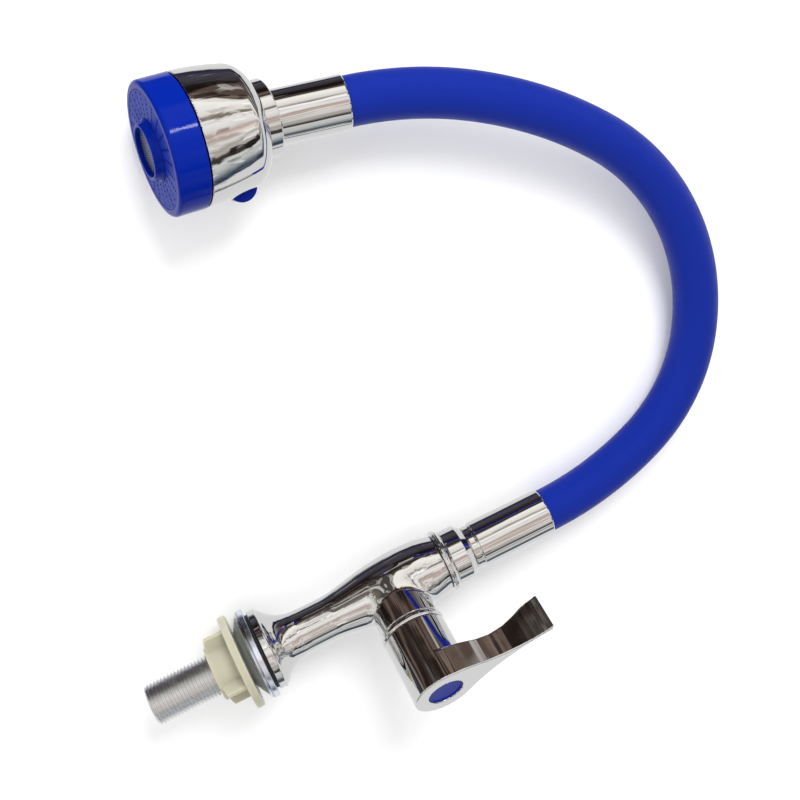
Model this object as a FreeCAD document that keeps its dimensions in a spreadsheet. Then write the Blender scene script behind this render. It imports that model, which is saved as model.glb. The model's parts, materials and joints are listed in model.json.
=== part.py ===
import FreeCAD, Part
import math
import os
import Sketcher
from FreeCAD import Placement, Rotation, Vector

# A single-lever cold tap for a sink deck: a threaded shank below, a flowing cast body with
# a side lever, and a blue bendable hose arm that carries a ball-jointed two-mode spray head.
# Millimetres. Z points up along the body, and z = 0 is the deck under the base gasket.
# The spout reaches towards -X. Angles are in degrees.

DRIVING = (
    # inlet and fixing below the deck
    ("shank_d", 20.955, "outside of the half inch pipe thread"),
    ("shank_bore", 13.0, "water way in the shank"),
    ("shank_drop", 58.5, "shank below the deck plane"),
    ("shank_seat", 10.0, "shank screwed into the body"),
    ("thread_pitch", 1.814, "pitch of the pipe thread"),
    ("thread_depth", 0.95, "depth of a thread groove"),
    ("thread_crest", 0.45, "flat left on a thread crest"),
    ("thread_turns", 23, "grooves cut along the shank"),
    ("thread_plain", 14.0, "end of the shank left at the thread's outside"),
    ("tip_chamfer", 1.0, "chamfer on the shank's end"),
    ("thread_play", 0.08, "radial play of the nut on the thread"),
    ("nut_top", 8.7, "nut's upper face below the deck plane"),
    ("nut_flange_t", 3.9, "thickness of the nut's flange"),
    ("nut_flange_d", 48.6, "nut's flange"),
    ("nut_height", 16.2, "nut from flange to hub end"),
    ("nut_hub_d", 27.6, "nut's hub"),
    ("wing_reach", 21.4, "nut's wing tips from the axis"),
    ("wing_t", 2.4, "thickness of a wing"),
    ("wing_height", 11.0, "height of a wing on the flange"),
    ("wing_corner", 4.0, "round on a wing's outer corner"),
    ("wing_count", 4, "wings on the nut"),
    ("cup_d", 46.6, "cup washer"),
    ("cup_hole", 22.4, "hole of the cup washer"),
    ("cup_rim", 3.4, "straight rim of the cup washer"),
    ("cup_crown", 27.0, "flat crown of the cup washer"),
    ("cup_wall", 1.3, "sheet of the cup washer"),
    ("gasket_d", 39.0, "base gasket"),
    ("gasket_t", 1.5, "thickness of the base gasket"),
    # body
    ("flange_d", 41.6, "foot of the body"),
    ("flange_t", 3.9, "thickness of the foot"),
    ("waist_d", 22.2, "narrow waist of the body"),
    ("flare_run", 1.5, "slope at the top edge of the foot"),
    ("flare_sweep", 16.8, "radius of the flare from foot to waist"),
    ("waist_low", 23.0, "height where the waist begins"),
    ("waist_high", 38.5, "height where the waist ends"),
    ("belly_d", 33.6, "belly of the body"),
    ("belly_z", 83.5, "height of the fullest belly"),
    ("hollow_drop", 1.5, "where waist meets belly, below the middle between them"),
    ("hollow_sweep", 85.5, "radius of the hollow above the waist"),
    ("belly_sweep", 94.5, "radius of the belly below its fullest height"),
    ("crown_sweep", 55.4, "radius of the belly above its fullest height"),
    ("body_top", 100.3, "shoulder at the top of the body"),
    ("body_top_d", 29.0, "body at its top shoulder"),
    ("body_bore", 10.0, "water way up the body"),
    ("lever_z", 71.4, "height of the lever's axis"),
    ("lever_azimuth_deg", -62.5, "direction of the lever's axis about Z"),
    ("boss_d", 31.6, "valve boss on the body"),
    ("boss_reach", 25.0, "mouth of the boss from the body axis"),
    ("boss_bore", 21.0, "bore of the boss"),
    ("seat_reach", 8.0, "valve seat from the body axis"),
    ("riser_offset", 10.0, "water riser beside the valve from the body axis"),
    ("riser_d", 8.0, "water riser above the valve"),
    ("spout_bore", 18.8, "bore in the body's top for the spout stem"),
    ("spout_bore_depth", 21.7, "depth of that bore from the neck's top"),
    ("neck_d", 24.6, "threaded neck above the body's shoulder"),
    ("neck_height", 9.9, "threaded neck above that shoulder"),
    # valve
    ("seal_t", 2.0, "valve seal"),
    ("disc_d", 16.8, "ceramic discs"),
    ("disc_t", 2.5, "thickness of a ceramic disc"),
    ("disc_gap", 0.05, "film between sliding faces"),
    ("valve_shell_d", 18.6, "valve body inside the boss"),
    ("valve_thread_d", 20.8, "valve body where it screws into the boss"),
    ("valve_hex_d", 24.0, "valve body's flange over the boss"),
    ("valve_hex_t", 4.0, "thickness of that flange"),
    ("valve_neck_d", 14.0, "valve body's neck"),
    ("valve_neck_end", 36.0, "end of the valve neck from the body axis"),
    ("spindle_d", 8.0, "spindle"),
    ("spindle_play", 0.05, "radial play of the spindle"),
    ("spindle_end", 52.0, "end of the spindle from the body axis"),
    ("ring_d", 33.0, "trim ring between boss and lever"),
    ("ring_t", 3.4, "thickness of the trim ring"),
    # lever
    ("hub_d", 32.4, "lever hub"),
    ("hub_wall", 2.0, "wall of the lever hub"),
    ("hub_gap", 0.3, "gap between trim ring and hub"),
    ("hub_face", 63.0, "front face of the lever from the body axis"),
    ("hub_floor", 6.0, "thickness of the lever's front"),
    ("socket_d", 14.0, "spindle socket inside the lever"),
    ("socket_start", 38.5, "mouth of the spindle socket from the body axis"),
    ("screw_d", 4.0, "lever screw"),
    ("screw_grip", 7.0, "lever screw inside the spindle"),
    ("screw_head_d", 8.0, "head of the lever screw"),
    ("screw_head_t", 2.8, "height of that head"),
    ("button_d", 18.0, "index button"),
    ("button_t", 2.0, "thickness of the index button"),
    ("button_sink", 0.5, "button below the lever's face"),
    ("button_dish", 72.0, "radius of the button's hollow face"),
    ("blade_reach", 59.3, "tip of the lever blade from its axis"),
    ("blade_side", 11.8, "outer side of the blade's tip from the hub centre"),
    ("blade_tip_t", 3.6, "thickness of the blade's tip"),
    ("tip_lean", 0.7, "lean of the blade's tip face"),
    ("blade_start", 20.0, "where the blade's outer side starts to hollow"),
    ("blade_start_side", 12.3, "outer side there"),
    ("blade_hollow", 60.0, "radius of the blade's outer side"),
    ("blade_back", 74.0, "radius of the blade's inner side"),
    ("blade_edge", 14.0, "depth of the blade at its neck"),
    ("blade_tip_edge", 18.8, "depth of the blade at its tip"),
    ("blade_sweep", 56.0, "radius of the blade's rear edge"),
    ("blade_kink", 50.0, "where the rear edge turns straight"),
    ("kink_rise", 0.9, "rise of the rear edge from the tip to there"),
    # spout swivel
    ("swivel_ring_d", 33.4, "ring under the collar nut"),
    ("swivel_ring_t", 3.8, "thickness of that ring"),
    ("swivel_step", 2.3, "its upper step above its underside"),
    ("collar_d", 28.8, "collar nut"),
    ("collar_length", 11.6, "length of the collar nut"),
    ("collar_round", 3.0, "height of the slope on the collar nut's top"),
    ("collar_slope", 2.7, "width of that slope"),
    ("collar_lip", 2.8, "lip that holds the spout"),
    ("stem_play", 0.1, "radial play of the spout stem"),
    ("stem_flange_d", 23.4, "flange of the spout stem"),
    ("stem_flange_t", 1.8, "thickness of that flange"),
    ("glide_t", 0.4, "thickness of the glide washer"),
    ("stem_neck_d", 17.0, "spout stem above its flange"),
    ("stem_bore", 11.4, "water way in the spout stem"),
    ("stem_rest", 1.0, "spout stem's end above the bore's floor"),
    ("seal_wire", 1.5, "thickness of a stem seal"),
    ("seal_groove", 2.1, "width of a stem seal's groove"),
    ("seal_rise", 5.5, "lower stem seal above the bore's floor"),
    ("seal_step", 6.0, "distance between the stem seals"),
    ("tail_d", 9.8, "hose tail"),
    ("tail_bore", 7.2, "bore of the hose tail"),
    ("tail_length", 22.0, "hose tail beyond its shoulder"),
    # ferrules and hose
    ("ferrule_d", 24.2, "both ferrules"),
    ("ferrule_gap", 0.3, "gap between collar nut and lower ferrule"),
    ("ferrule_neck_d", 23.0, "waist under the lower ferrule"),
    ("edge_round", 0.5, "small bevel on the edges of ferrules and rings"),
    ("ferrule_neck", 4.2, "height of that waist"),
    ("ferrule_floor", 10.0, "solid foot of the lower ferrule"),
    ("ferrule_length", 43.9, "length of the lower ferrule"),
    ("hose_d", 22.4, "hose sleeve"),
    ("sleeve_wall", 2.2, "wall of the hose sleeve"),
    ("goose_wall", 1.5, "wall of the bendable metal tube"),
    ("inner_wall", 2.3, "wall of the inner water hose"),
    ("layer_gap", 0.1, "gap between the hose's layers"),
    ("hose_length", 374.9, "hose between the two ferrules"),
    ("bend_a", 24.4, "turn of the first stretch"),
    ("bend_b", 43.4, "turn of the second stretch"),
    ("bend_c", 32.8, "turn of the third stretch"),
    ("bend_d", 31.4, "turn of the fourth stretch"),
    ("bend_e", 19.5, "turn of the fifth stretch"),
    ("bend_f", 20.4, "turn of the sixth stretch"),
    ("twist_e_deg", -21.5, "the arch leaves its plane at the fifth stretch"),
    ("twist_f_deg", 28.4, "and turns back at the sixth"),
    ("seam_ball", 13.0, "radius of the ball seam between stretches"),
    ("seam_gap", 0.3, "gap at a ball seam"),
    ("sleeve_grip", 12.0, "sleeve held inside a ferrule"),
    ("goose_grip", 15.0, "metal tube held inside a ferrule"),
    ("inner_grip", 18.0, "inner hose held inside a ferrule"),
    ("low_grip", 14.0, "further depth of all three in the lower ferrule"),
    ("ferrule_top", 35.8, "length of the upper ferrule"),
    ("ferrule_end", 3.0, "end wall of the upper ferrule"),
    ("plug_t", 6.0, "plug of the ball stem inside the upper ferrule"),
    # ball joint
    ("ball_reach", 46.6, "ball centre from the end of the hose"),
    ("ball_d", 16.0, "ball"),
    ("ball_neck_d", 10.0, "neck behind the ball"),
    ("ball_bore", 6.4, "bore through the ball"),
    ("ball_play", 0.05, "play of the ball in its seats"),
    ("seat_wall", 1.4, "wall of the ball seat"),
    ("seat_low", 4.6, "ball seat begins past the ball centre"),
    ("seat_high", 7.4, "ball seat ends past the ball centre"),
    ("tilt_side", 11.9, "sideways tilt of the head as it rests"),
    ("tilt_in", 2.4, "inward tilt of the head as it rests"),
    ("head_roll", 180.0, "roll of the head about its own axis"),
    ("socket_ring_d", 34.2, "socket ring behind the bell"),
    ("socket_ring_bore", 31.6, "opening of the socket ring"),
    ("socket_ring_back", 12.5, "back of the socket ring behind the ball centre"),
    ("socket_floor", 7.2, "floor of the socket ring behind the ball centre"),
    ("socket_mouth", 13.2, "mouth round the ball's neck"),
    ("socket_flare", 16.8, "that mouth at the floor"),
    ("socket_thread_d", 30.0, "socket ring where it screws into the bell"),
    ("socket_front", 0.4, "front of the socket ring past the ball centre"),
    # head
    ("bell_back", 6.0, "back of the bell behind the ball centre"),
    ("bell_boss", 1.0, "front of the bell's threaded boss behind the ball centre"),
    ("bell_boss_d", 35.0, "the bell's threaded boss"),
    ("bell_shoulder", 8.0, "round of the bell's shoulder"),
    ("bell_side_d", 53.8, "bell where its shoulder ends"),
    ("bell_lip", 0.1, "bell's mouth outside the face ring"),
    ("bell_mouth", 25.4, "mouth of the bell past the ball centre"),
    ("bell_sweep", 110.0, "radius of the bell's side"),
    ("bell_wall", 1.8, "wall of the bell"),
    ("face_gap", 0.4, "joint line between bell and face ring"),
    ("face_wall", 3.8, "wall of the face ring round the spray plate"),
    ("face_front", 40.2, "front of the face ring past the ball centre"),
    ("face_round", 3.0, "round on the face ring's front edge"),
    ("face_skirt", 3.6, "face ring inside the bell"),
    ("skirt_wall", 2.1, "wall of the face ring's skirt inside the bell"),
    ("plate_ledge", 1.3, "ledge of the face ring behind the spray plate"),
    ("plate_d", 51.0, "spray plate"),
    ("plate_t", 1.9, "thickness of the spray plate"),
    ("plate_sink", 0.2, "spray plate below the front"),
    ("jet_d", 0.9, "spray jets"),
    ("jet_rows", 24, "radial rows of jets"),
    ("jet_first", 15.4, "innermost jet of a row from the axis"),
    ("jet_edge", 1.5, "outermost jets from the plate's edge"),
    ("jets_in_row", 5, "jets in a radial row"),
    ("nozzle_d", 27.4, "nozzle collar"),
    ("nozzle_rim_d", 23.8, "rim of the nozzle collar"),
    ("nozzle_bore", 20.8, "bore of the nozzle collar"),
    ("nozzle_proud", 3.5, "nozzle collar past the front"),
    ("nozzle_foot_d", 32.0, "foot of the nozzle collar"),
    ("nozzle_foot_t", 1.8, "thickness of that foot"),
    ("nozzle_stop_d", 17.0, "stop for the aerator's cup"),
    ("mesh_sink", 2.2, "mesh below the nozzle's rim"),
    ("mesh_t", 0.6, "thickness of the mesh"),
    ("aerator_wall", 1.4, "wall of the aerator's cup"),
    ("aerator_length", 7.6, "aerator's cup"),
    ("aerator_hole_d", 2.2, "holes in the cup's floor"),
    ("aerator_holes_out", 4.25, "those holes from the axis"),
    ("core_d", 30.8, "core behind its flange"),
    ("core_play", 0.2, "play of the core's flange in the face ring"),
    ("core_back", 0.5, "back of the core past the ball centre"),
    ("core_pocket", 8.8, "front of the ball's pocket past the ball centre"),
    ("core_inlet_d", 25.2, "inlet chamber round the pocket's end"),
    ("core_inlet_t", 1.6, "depth of the inlet chamber"),
    ("core_flange_back", 20.5, "back of the core's flange"),
    ("core_floor", 24.5, "floor of the core's chamber"),
    ("core_front", 35.0, "front of the core"),
    ("core_wall", 1.5, "wall round the core's chamber"),
    ("bypass_d", 4.4, "water ways beside the spool"),
    ("bypass_out", 10.2, "those water ways from the axis"),
    ("divider_back", 25.6, "back of the water divider"),
    ("divider_t", 1.8, "thickness of the water divider"),
    ("divider_hole", 10.6, "hole of the water divider"),
    ("divider_port_d", 3.0, "outer ports of the water divider"),
    ("divider_ports", 8, "outer ports of the water divider"),
    ("part_gap", 0.1, "gap between pieces that are fixed to each other"),
    # mode switch
    ("spool_d", 10.0, "diverter spool"),
    ("spool_play", 0.05, "radial play of the spool"),
    ("spool_low", 14.1, "rear end of the spool past the ball centre"),
    ("spool_length", 7.0, "the spool's two lands and groove"),
    ("spool_waist_d", 4.4, "spool in its groove and its stem"),
    ("spool_groove", 3.4, "width of the spool's groove"),
    ("spool_plug", 27.2, "front of the spool's plug past the ball centre"),
    ("toggle_out", 22.0, "toggle's pin from the head's axis"),
    ("toggle_z", 11.2, "toggle's pin past the ball centre"),
    ("lobe_out", 24.6, "centre of the toggle's thumb lobe from the head's axis"),
    ("lobe_z", 7.6, "centre of the thumb lobe past the ball centre"),
    ("lobe_d", 13.8, "the toggle's thumb lobe"),
    ("toggle_t", 7.0, "thickness of the toggle's lobe"),
    ("toggle_gap", 0.3, "play beside the toggle"),
    ("toggle_lead", 1.1, "further room for the lobe ahead of it"),
    ("arm_t", 2.3, "thickness of the toggle's arm"),
    ("arm_width", 4.0, "width of the toggle's arm"),
    ("arm_tip", 3.6, "arm's tip from the head's axis"),
    ("arm_slot_low", 11.0, "start of the core's slot for the arm"),
    ("arm_slot_high", 19.4, "end of the core's slot for the arm"),
    ("pin_d", 2.4, "toggle pin"),
    ("pin_play", 0.05, "radial play of the toggle on its pin"),
    ("cut_over", 1.0, "a cut's length beyond the piece"),
    ("ear_t", 2.0, "thickness of the ears that hold the toggle pin"),
    ("ear_in", 18.6, "inner side of the ears from the head's axis"),
    ("ear_reach", 24.2, "outer side of the ears from the head's axis"),
    ("ear_low", 8.6, "rear end of the ears past the ball centre"),
)

doc = FreeCAD.newDocument("flexible_spout_tap")
sheet = doc.addObject("Spreadsheet::Sheet", "dims")


class Size:
    """A size kept both as a number and as the formula on the sheet that gives it."""

    def __init__(self, value, text):
        self.value = value
        self.text = text

    @staticmethod
    def of(other):
        return other if isinstance(other, Size) else Size(other, repr(other))

    def __add__(self, other):
        other = Size.of(other)
        return Size(self.value + other.value, f"({self.text} + {other.text})")

    def __radd__(self, other):
        return Size.of(other) + self

    def __sub__(self, other):
        other = Size.of(other)
        return Size(self.value - other.value, f"({self.text} - {other.text})")

    def __rsub__(self, other):
        return Size.of(other) - self

    def __mul__(self, other):
        other = Size.of(other)
        return Size(self.value * other.value, f"({self.text} * {other.text})")

    def __rmul__(self, other):
        return self * other

    def __truediv__(self, other):
        other = Size.of(other)
        return Size(self.value / other.value, f"({self.text} / {other.text})")

    def __neg__(self):
        return Size(-self.value, f"(0 - {self.text})")


def root_of(size):
    """The square root of a size."""
    return Size(math.sqrt(size.value), f"sqrt({size.text})")


class Sizes:
    """Holds each driving size under its own name."""


d = Sizes()
for row, (alias, value, words) in enumerate(DRIVING, 1):
    sheet.set(f"A{row}", alias)
    sheet.set(f"B{row}", str(value))
    sheet.set(f"C{row}", words)
    sheet.setAlias(f"B{row}", alias)
    setattr(d, alias, Size(value, f"dims.{alias}"))
doc.recompute()

# Sizes that follow from others: the swivel's stack of heights, then the head's rings
d.neck_top = d.body_top + d.neck_height
d.spout_bore_floor = d.neck_top - d.spout_bore_depth
d.seal_low = d.spout_bore_floor + d.seal_rise
d.collar_top = d.body_top + d.swivel_ring_t + d.collar_length
d.ferrule_low = d.collar_top + d.ferrule_gap
d.hose_start = d.ferrule_low + d.ferrule_length
d.face_inner_d = d.plate_d - d.plate_ledge * 2
d.face_skirt_d = d.face_inner_d + d.skirt_wall * 2
d.face_ring_d = d.plate_d + d.face_wall * 2
d.bell_mouth_d = d.face_ring_d + d.bell_lip * 2
d.core_flange_d = d.face_inner_d - d.core_play * 2
d.plate_hole = d.nozzle_d + d.part_gap * 2
jet_span = d.plate_d / 2 - d.jet_edge - d.jet_first
d.jet_step = jet_span / (d.jets_in_row - 1)

parts = []
UP = Vector(0, 0, 1)
ACROSS = Vector(0, 1, 0)


def keep(piece, label, place=None):
    """Names a finished piece, puts it in its place and lists it for the export."""
    piece.Label = label
    if place is not None:
        piece.Placement = place
    parts.append(piece)
    return piece


def bind(item, **sizes):
    """Ties properties of a document object to the sheet."""
    for name, size in sizes.items():
        item.setExpression(name, Size.of(size).text)
    return item


def plane(body, role):
    """One of a body's own origin planes."""
    return next(f for f in body.Origin.OriginFeatures if f.Role == role)


def pin_point(sketch, geometry, end, x, y):
    """Holds one end of a sketch line at x, y, tied to the sheet."""
    for kind, axis, size in (("DistanceX", -2, x), ("DistanceY", -1, y)):
        if not isinstance(size, Size):
            sketch.addConstraint(Sketcher.Constraint("PointOnObject", geometry, end, axis))
            continue
        rule = sketch.addConstraint(
            Sketcher.Constraint(kind, -1, 1, geometry, end, size.value)
        )
        sketch.setExpression(f"Constraints[{rule}]", size.text)


def flat(size):
    """The plain number of a size."""
    return size.value if isinstance(size, Size) else float(size)


def draw(body, name, role, outline):
    """A closed outline in a sketch on an origin plane of the body.

    Each point is (x, y), reached by a line, or (x, y, radius, side), reached by an arc whose
    centre lies to that side of the way from the point before."""
    sketch = body.newObject("Sketcher::SketchObject", name)
    sketch.AttachmentSupport = (plane(body, role), "")
    sketch.MapMode = "FlatFace"
    ends = []
    for k, point in enumerate(outline):
        before = Vector(flat(outline[k - 1][0]), flat(outline[k - 1][1]), 0)
        here = Vector(flat(point[0]), flat(point[1]), 0)
        if len(point) == 2:
            line = sketch.addGeometry(Part.LineSegment(before, here), False)
            ends.append((line, 1, 2))
            continue
        radius, side = point[2], point[3]
        way = here - before
        left = Vector(-way.y, way.x, 0).normalize()
        if side == "right":
            left = -left
        rise = math.sqrt(max(radius.value**2 - way.Length**2 / 4, 0))
        centre = (before + here) / 2 + left * rise
        first, last = (before, here) if side == "left" else (here, before)
        start = math.atan2(first.y - centre.y, first.x - centre.x)
        stop = math.atan2(last.y - centre.y, last.x - centre.x)
        circle = Part.Circle(centre, UP, radius.value)
        arc = sketch.addGeometry(Part.ArcOfCircle(circle, start, stop), False)
        rule = sketch.addConstraint(Sketcher.Constraint("Radius", arc, radius.value))
        sketch.setExpression(f"Constraints[{rule}]", radius.text)
        ends.append((arc, 1, 2) if side == "left" else (arc, 2, 1))
    for k, (line, start, stop) in enumerate(ends):
        following = ends[(k + 1) % len(ends)]
        sketch.addConstraint(
            Sketcher.Constraint("Coincident", line, stop, following[0], following[1])
        )
        pin_point(sketch, line, stop, outline[k][0], outline[k][1])
    return sketch


def turned_feature(body, name, kind, outline, role="XZ_Plane", axis="V_Axis"):
    """Turns an outline about the sketch's own axis, to add to the body or to cut it."""
    sketch = draw(body, name + "_outline", role, outline)
    feature = body.newObject(kind, name)
    feature.Profile = sketch
    feature.ReferenceAxis = (sketch, [axis])
    feature.Angle = 360
    body.Tip = feature
    return feature


def new_body(label, place=None):
    """An empty body, listed under its label."""
    return keep(doc.addObject("PartDesign::Body", label), label, place)


def turned(label, outline, place=None):
    """A piece turned about its own Z from one closed outline of (radius, height) points."""
    body = new_body(label, place)
    turned_feature(body, label + "_turned", "PartDesign::Revolution", outline)
    return body


def tube(label, outer, inner, low, high, place=None):
    """A plain turned ring between two heights."""
    outline = [(inner, low), (outer, low), (outer, high), (inner, high)]
    return turned(label, outline, place)


def extrude(body, name, kind, sketch, length, middle=False, back=False):
    """Pads or pockets a sketch, to one side or to both sides alike."""
    feature = body.newObject(kind, name)
    feature.Profile = sketch
    bind(feature, Length=length)
    if middle:
        feature.SideType = "Symmetric"
    feature.Reversed = back
    body.Tip = feature
    return feature


def circles(body, name, role, rounds):
    """A sketch of circles, each (x, y, diameter)."""
    sketch = body.newObject("Sketcher::SketchObject", name)
    sketch.AttachmentSupport = (plane(body, role), "")
    sketch.MapMode = "FlatFace"
    for x, y, across in rounds:
        centre = Vector(flat(x), flat(y), 0)
        line = sketch.addGeometry(Part.Circle(centre, UP, across.value / 2), False)
        pin_point(sketch, line, 3, x, y)
        rule = sketch.addConstraint(
            Sketcher.Constraint("Radius", line, across.value / 2)
        )
        sketch.setExpression(f"Constraints[{rule}]", (across / 2).text)
    return sketch


def round_pattern(body, name, feature, count, role="Z_Axis"):
    """Repeats a feature evenly about one of the body's axes."""
    pattern = body.newObject("PartDesign::PolarPattern", name)
    pattern.Originals = [feature]
    pattern.Axis = (plane(body, role), [""])
    pattern.Angle = 360
    bind(pattern, Occurrences=count)
    body.Tip = pattern
    return pattern


def at(x=0.0, y=0.0, z=0.0, axis=UP, angle=0.0):
    """A place shifted by x, y, z and turned by angle degrees about axis."""
    return Placement(Vector(x, y, z), Rotation(axis, angle))


# Threaded shank, screwed into the foot of the body
shank_r = d.shank_d / 2
foot = d.gasket_t
shank = turned(
    "inlet_shank",
    [
        (d.shank_bore / 2, -d.shank_drop),
        (shank_r - d.tip_chamfer, -d.shank_drop),
        (shank_r, -d.shank_drop + d.tip_chamfer),
        (shank_r, foot + d.shank_seat),
        (d.shank_bore / 2, foot + d.shank_seat),
    ],
)
groove_low = -d.shank_drop + d.thread_plain
groove_high = groove_low + d.thread_pitch - d.thread_crest
groove = turned_feature(
    shank,
    "thread_groove",
    "PartDesign::Groove",
    [
        (shank_r + d.thread_depth, groove_low - (d.thread_pitch - d.thread_crest) / 2),
        (shank_r + d.thread_depth, groove_high + (d.thread_pitch - d.thread_crest) / 2),
        (shank_r - d.thread_depth, (groove_low + groove_high) / 2),
    ],
)
thread = shank.newObject("PartDesign::LinearPattern", "thread")
thread.Originals = [groove]
thread.Direction = (plane(shank, "Z_Axis"), [""])
bind(thread, Length=d.thread_pitch * (d.thread_turns - 1), Occurrences=d.thread_turns)
shank.Tip = thread

# Moulded mounting nut with four wings
nut_bore = shank_r + d.thread_play
nut = turned(
    "mounting_nut",
    [
        (nut_bore, -d.nut_top),
        (nut_bore, -d.nut_top - d.nut_height),
        (d.nut_hub_d / 2, -d.nut_top - d.nut_height),
        (d.nut_hub_d / 2, -d.nut_top - d.nut_flange_t),
        (d.nut_flange_d / 2, -d.nut_top - d.nut_flange_t),
        (d.nut_flange_d / 2, -d.nut_top),
    ],
)
wing_low = -d.nut_top - d.nut_flange_t - d.wing_height
wing_inside = (nut_bore + d.nut_hub_d / 2) / 2
wing_outline = draw(
    nut,
    "wing_outline",
    "XZ_Plane",
    [
        (wing_inside, -d.nut_top - d.nut_flange_t / 2),
        (wing_inside, wing_low),
        (d.wing_reach - d.wing_corner, wing_low),
        (d.wing_reach, wing_low + d.wing_corner, d.wing_corner, "left"),
        (d.wing_reach, -d.nut_top - d.nut_flange_t / 2),
    ],
)
wing = extrude(nut, "wing", "PartDesign::Pad", wing_outline, d.wing_t, middle=True)
round_pattern(nut, "wings", wing, d.wing_count)

# Domed steel cup washer and rubber base gasket
crown = -d.nut_top + d.part_gap
turned(
    "cup_washer",
    [
        (d.cup_hole / 2, crown),
        (d.cup_crown / 2, crown),
        (d.cup_d / 2, -d.cup_rim),
        (d.cup_d / 2, 0),
        (d.cup_d / 2 - d.cup_wall, 0),
        (d.cup_d / 2 - d.cup_wall, -d.cup_rim + d.cup_wall / 2),
        (d.cup_crown / 2 - d.cup_wall / 4, crown + d.cup_wall),
        (d.cup_hole / 2, crown + d.cup_wall),
    ],
)
tube("base_gasket", d.gasket_d / 2, shank_r + d.part_gap, 0, foot)

# Cast body: turned outside, valve boss on its own +X side, water ways cut inside
azimuth = d.lever_azimuth_deg.value
body_place = at(angle=azimuth)
body = new_body("tap_body", body_place)
waist_r = d.waist_d / 2
belly_r = d.belly_d / 2
flare_x = d.flange_d / 2 - d.flare_run
turned_feature(
    body,
    "body_turned",
    "PartDesign::Revolution",
    [
        (0, foot),
        (d.flange_d / 2, foot),
        (d.flange_d / 2, foot + d.flange_t),
        (flare_x, foot + d.flange_t + d.flare_run),
        (waist_r, d.waist_low, d.flare_sweep, "right"),
        (waist_r, d.waist_high),
        (
            (waist_r + belly_r) / 2,
            (d.waist_high + d.belly_z) / 2 - d.hollow_drop,
            d.hollow_sweep,
            "right",
        ),
        (belly_r, d.belly_z, d.belly_sweep, "left"),
        (d.body_top_d / 2, d.body_top, d.crown_sweep, "left"),
        (d.neck_d / 2, d.body_top),
        (d.neck_d / 2, d.neck_top),
        (0, d.neck_top),
    ],
)
boss_round = circles(body, "boss_outline", "YZ_Plane", [(0, d.lever_z, d.boss_d)])
extrude(body, "boss", "PartDesign::Pad", boss_round, d.boss_reach)
water_top = d.lever_z + d.body_bore / 2
turned_feature(
    body,
    "water_way",
    "PartDesign::Groove",
    [
        (0, foot),
        (shank_r + d.disc_gap, foot),
        (shank_r + d.disc_gap, foot + d.shank_seat),
        (d.body_bore / 2, foot + d.shank_seat + d.body_bore / 2),
        (d.body_bore / 2, water_top),
        (0, water_top),
    ],
)
turned_feature(
    body,
    "spout_bore",
    "PartDesign::Groove",
    [
        (0, d.spout_bore_floor),
        (d.spout_bore / 2, d.spout_bore_floor),
        (d.spout_bore / 2, d.neck_top),
        (0, d.neck_top),
    ],
)
boss_hole = circles(body, "boss_bore_outline", "YZ_Plane", [(0, d.lever_z, d.body_bore)])
extrude(body, "seat_bore", "PartDesign::Pocket", boss_hole, d.seat_reach + d.boss_reach, back=True)
valve_hole = body.newObject("Sketcher::SketchObject", "valve_bore_outline")
valve_hole.AttachmentSupport = (plane(body, "YZ_Plane"), "")
valve_hole.MapMode = "FlatFace"
valve_hole.setExpression("AttachmentOffset.Base.z", d.seat_reach.text)
valve_line = valve_hole.addGeometry(Part.Circle(Vector(0, 1, 0), UP, 1), False)
pin_point(valve_hole, valve_line, 3, 0, d.lever_z)
valve_rule = valve_hole.addConstraint(Sketcher.Constraint("Radius", valve_line, 1))
valve_hole.setExpression(f"Constraints[{valve_rule}]", (d.boss_bore / 2).text)
extrude(body, "valve_bore", "PartDesign::Pocket", valve_hole, d.boss_reach, back=True)
riser_hole = body.newObject("Sketcher::SketchObject", "riser_outline")
riser_hole.AttachmentSupport = (plane(body, "XY_Plane"), "")
riser_hole.MapMode = "FlatFace"
riser_hole.setExpression("AttachmentOffset.Base.z", d.lever_z.text)
riser_line = riser_hole.addGeometry(Part.Circle(Vector(1, 0, 0), UP, 1), False)
pin_point(riser_hole, riser_line, 3, d.riser_offset, 0)
riser_rule = riser_hole.addConstraint(Sketcher.Constraint("Radius", riser_line, 1))
riser_hole.setExpression(f"Constraints[{riser_rule}]", (d.riser_d / 2).text)
riser_height = d.spout_bore_floor - d.lever_z + d.part_gap
extrude(body, "riser", "PartDesign::Pocket", riser_hole, riser_height, back=True)

# Valve and lever: their own Z is the lever's axis and their own X points up
lever_place = at(z=d.lever_z.value, angle=azimuth) * Placement(
    Vector(0, 0, 0), Rotation(Vector(0, 0, 1), Vector(0, -1, 0), Vector(1, 0, 0), "ZYX")
)
seal_end = d.seat_reach + d.seal_t
fixed_end = seal_end + d.disc_t
moving_low = fixed_end + d.disc_gap
moving_end = moving_low + d.disc_t
spindle_low = moving_end + d.disc_gap
shell_end = d.boss_reach - d.valve_hex_t
tube("valve_seal", d.disc_d / 2, d.body_bore / 2, d.seat_reach, seal_end, lever_place)


def ceramic_disc(label, low):
    """A ceramic disc with two kidney-like round ports."""
    disc = new_body(label, lever_place)
    turned_feature(
        disc,
        label + "_turned",
        "PartDesign::Revolution",
        [(0, low), (d.disc_d / 2, low), (d.disc_d / 2, low + d.disc_t), (0, low + d.disc_t)],
    )
    port = d.disc_d / 4
    ports = circles(
        disc, label + "_ports", "XY_Plane", [(port, 0, port), (-port, 0, port)]
    )
    extrude(disc, label + "_cut", "PartDesign::Pocket", ports, low + d.disc_t * 2, back=True)


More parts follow.
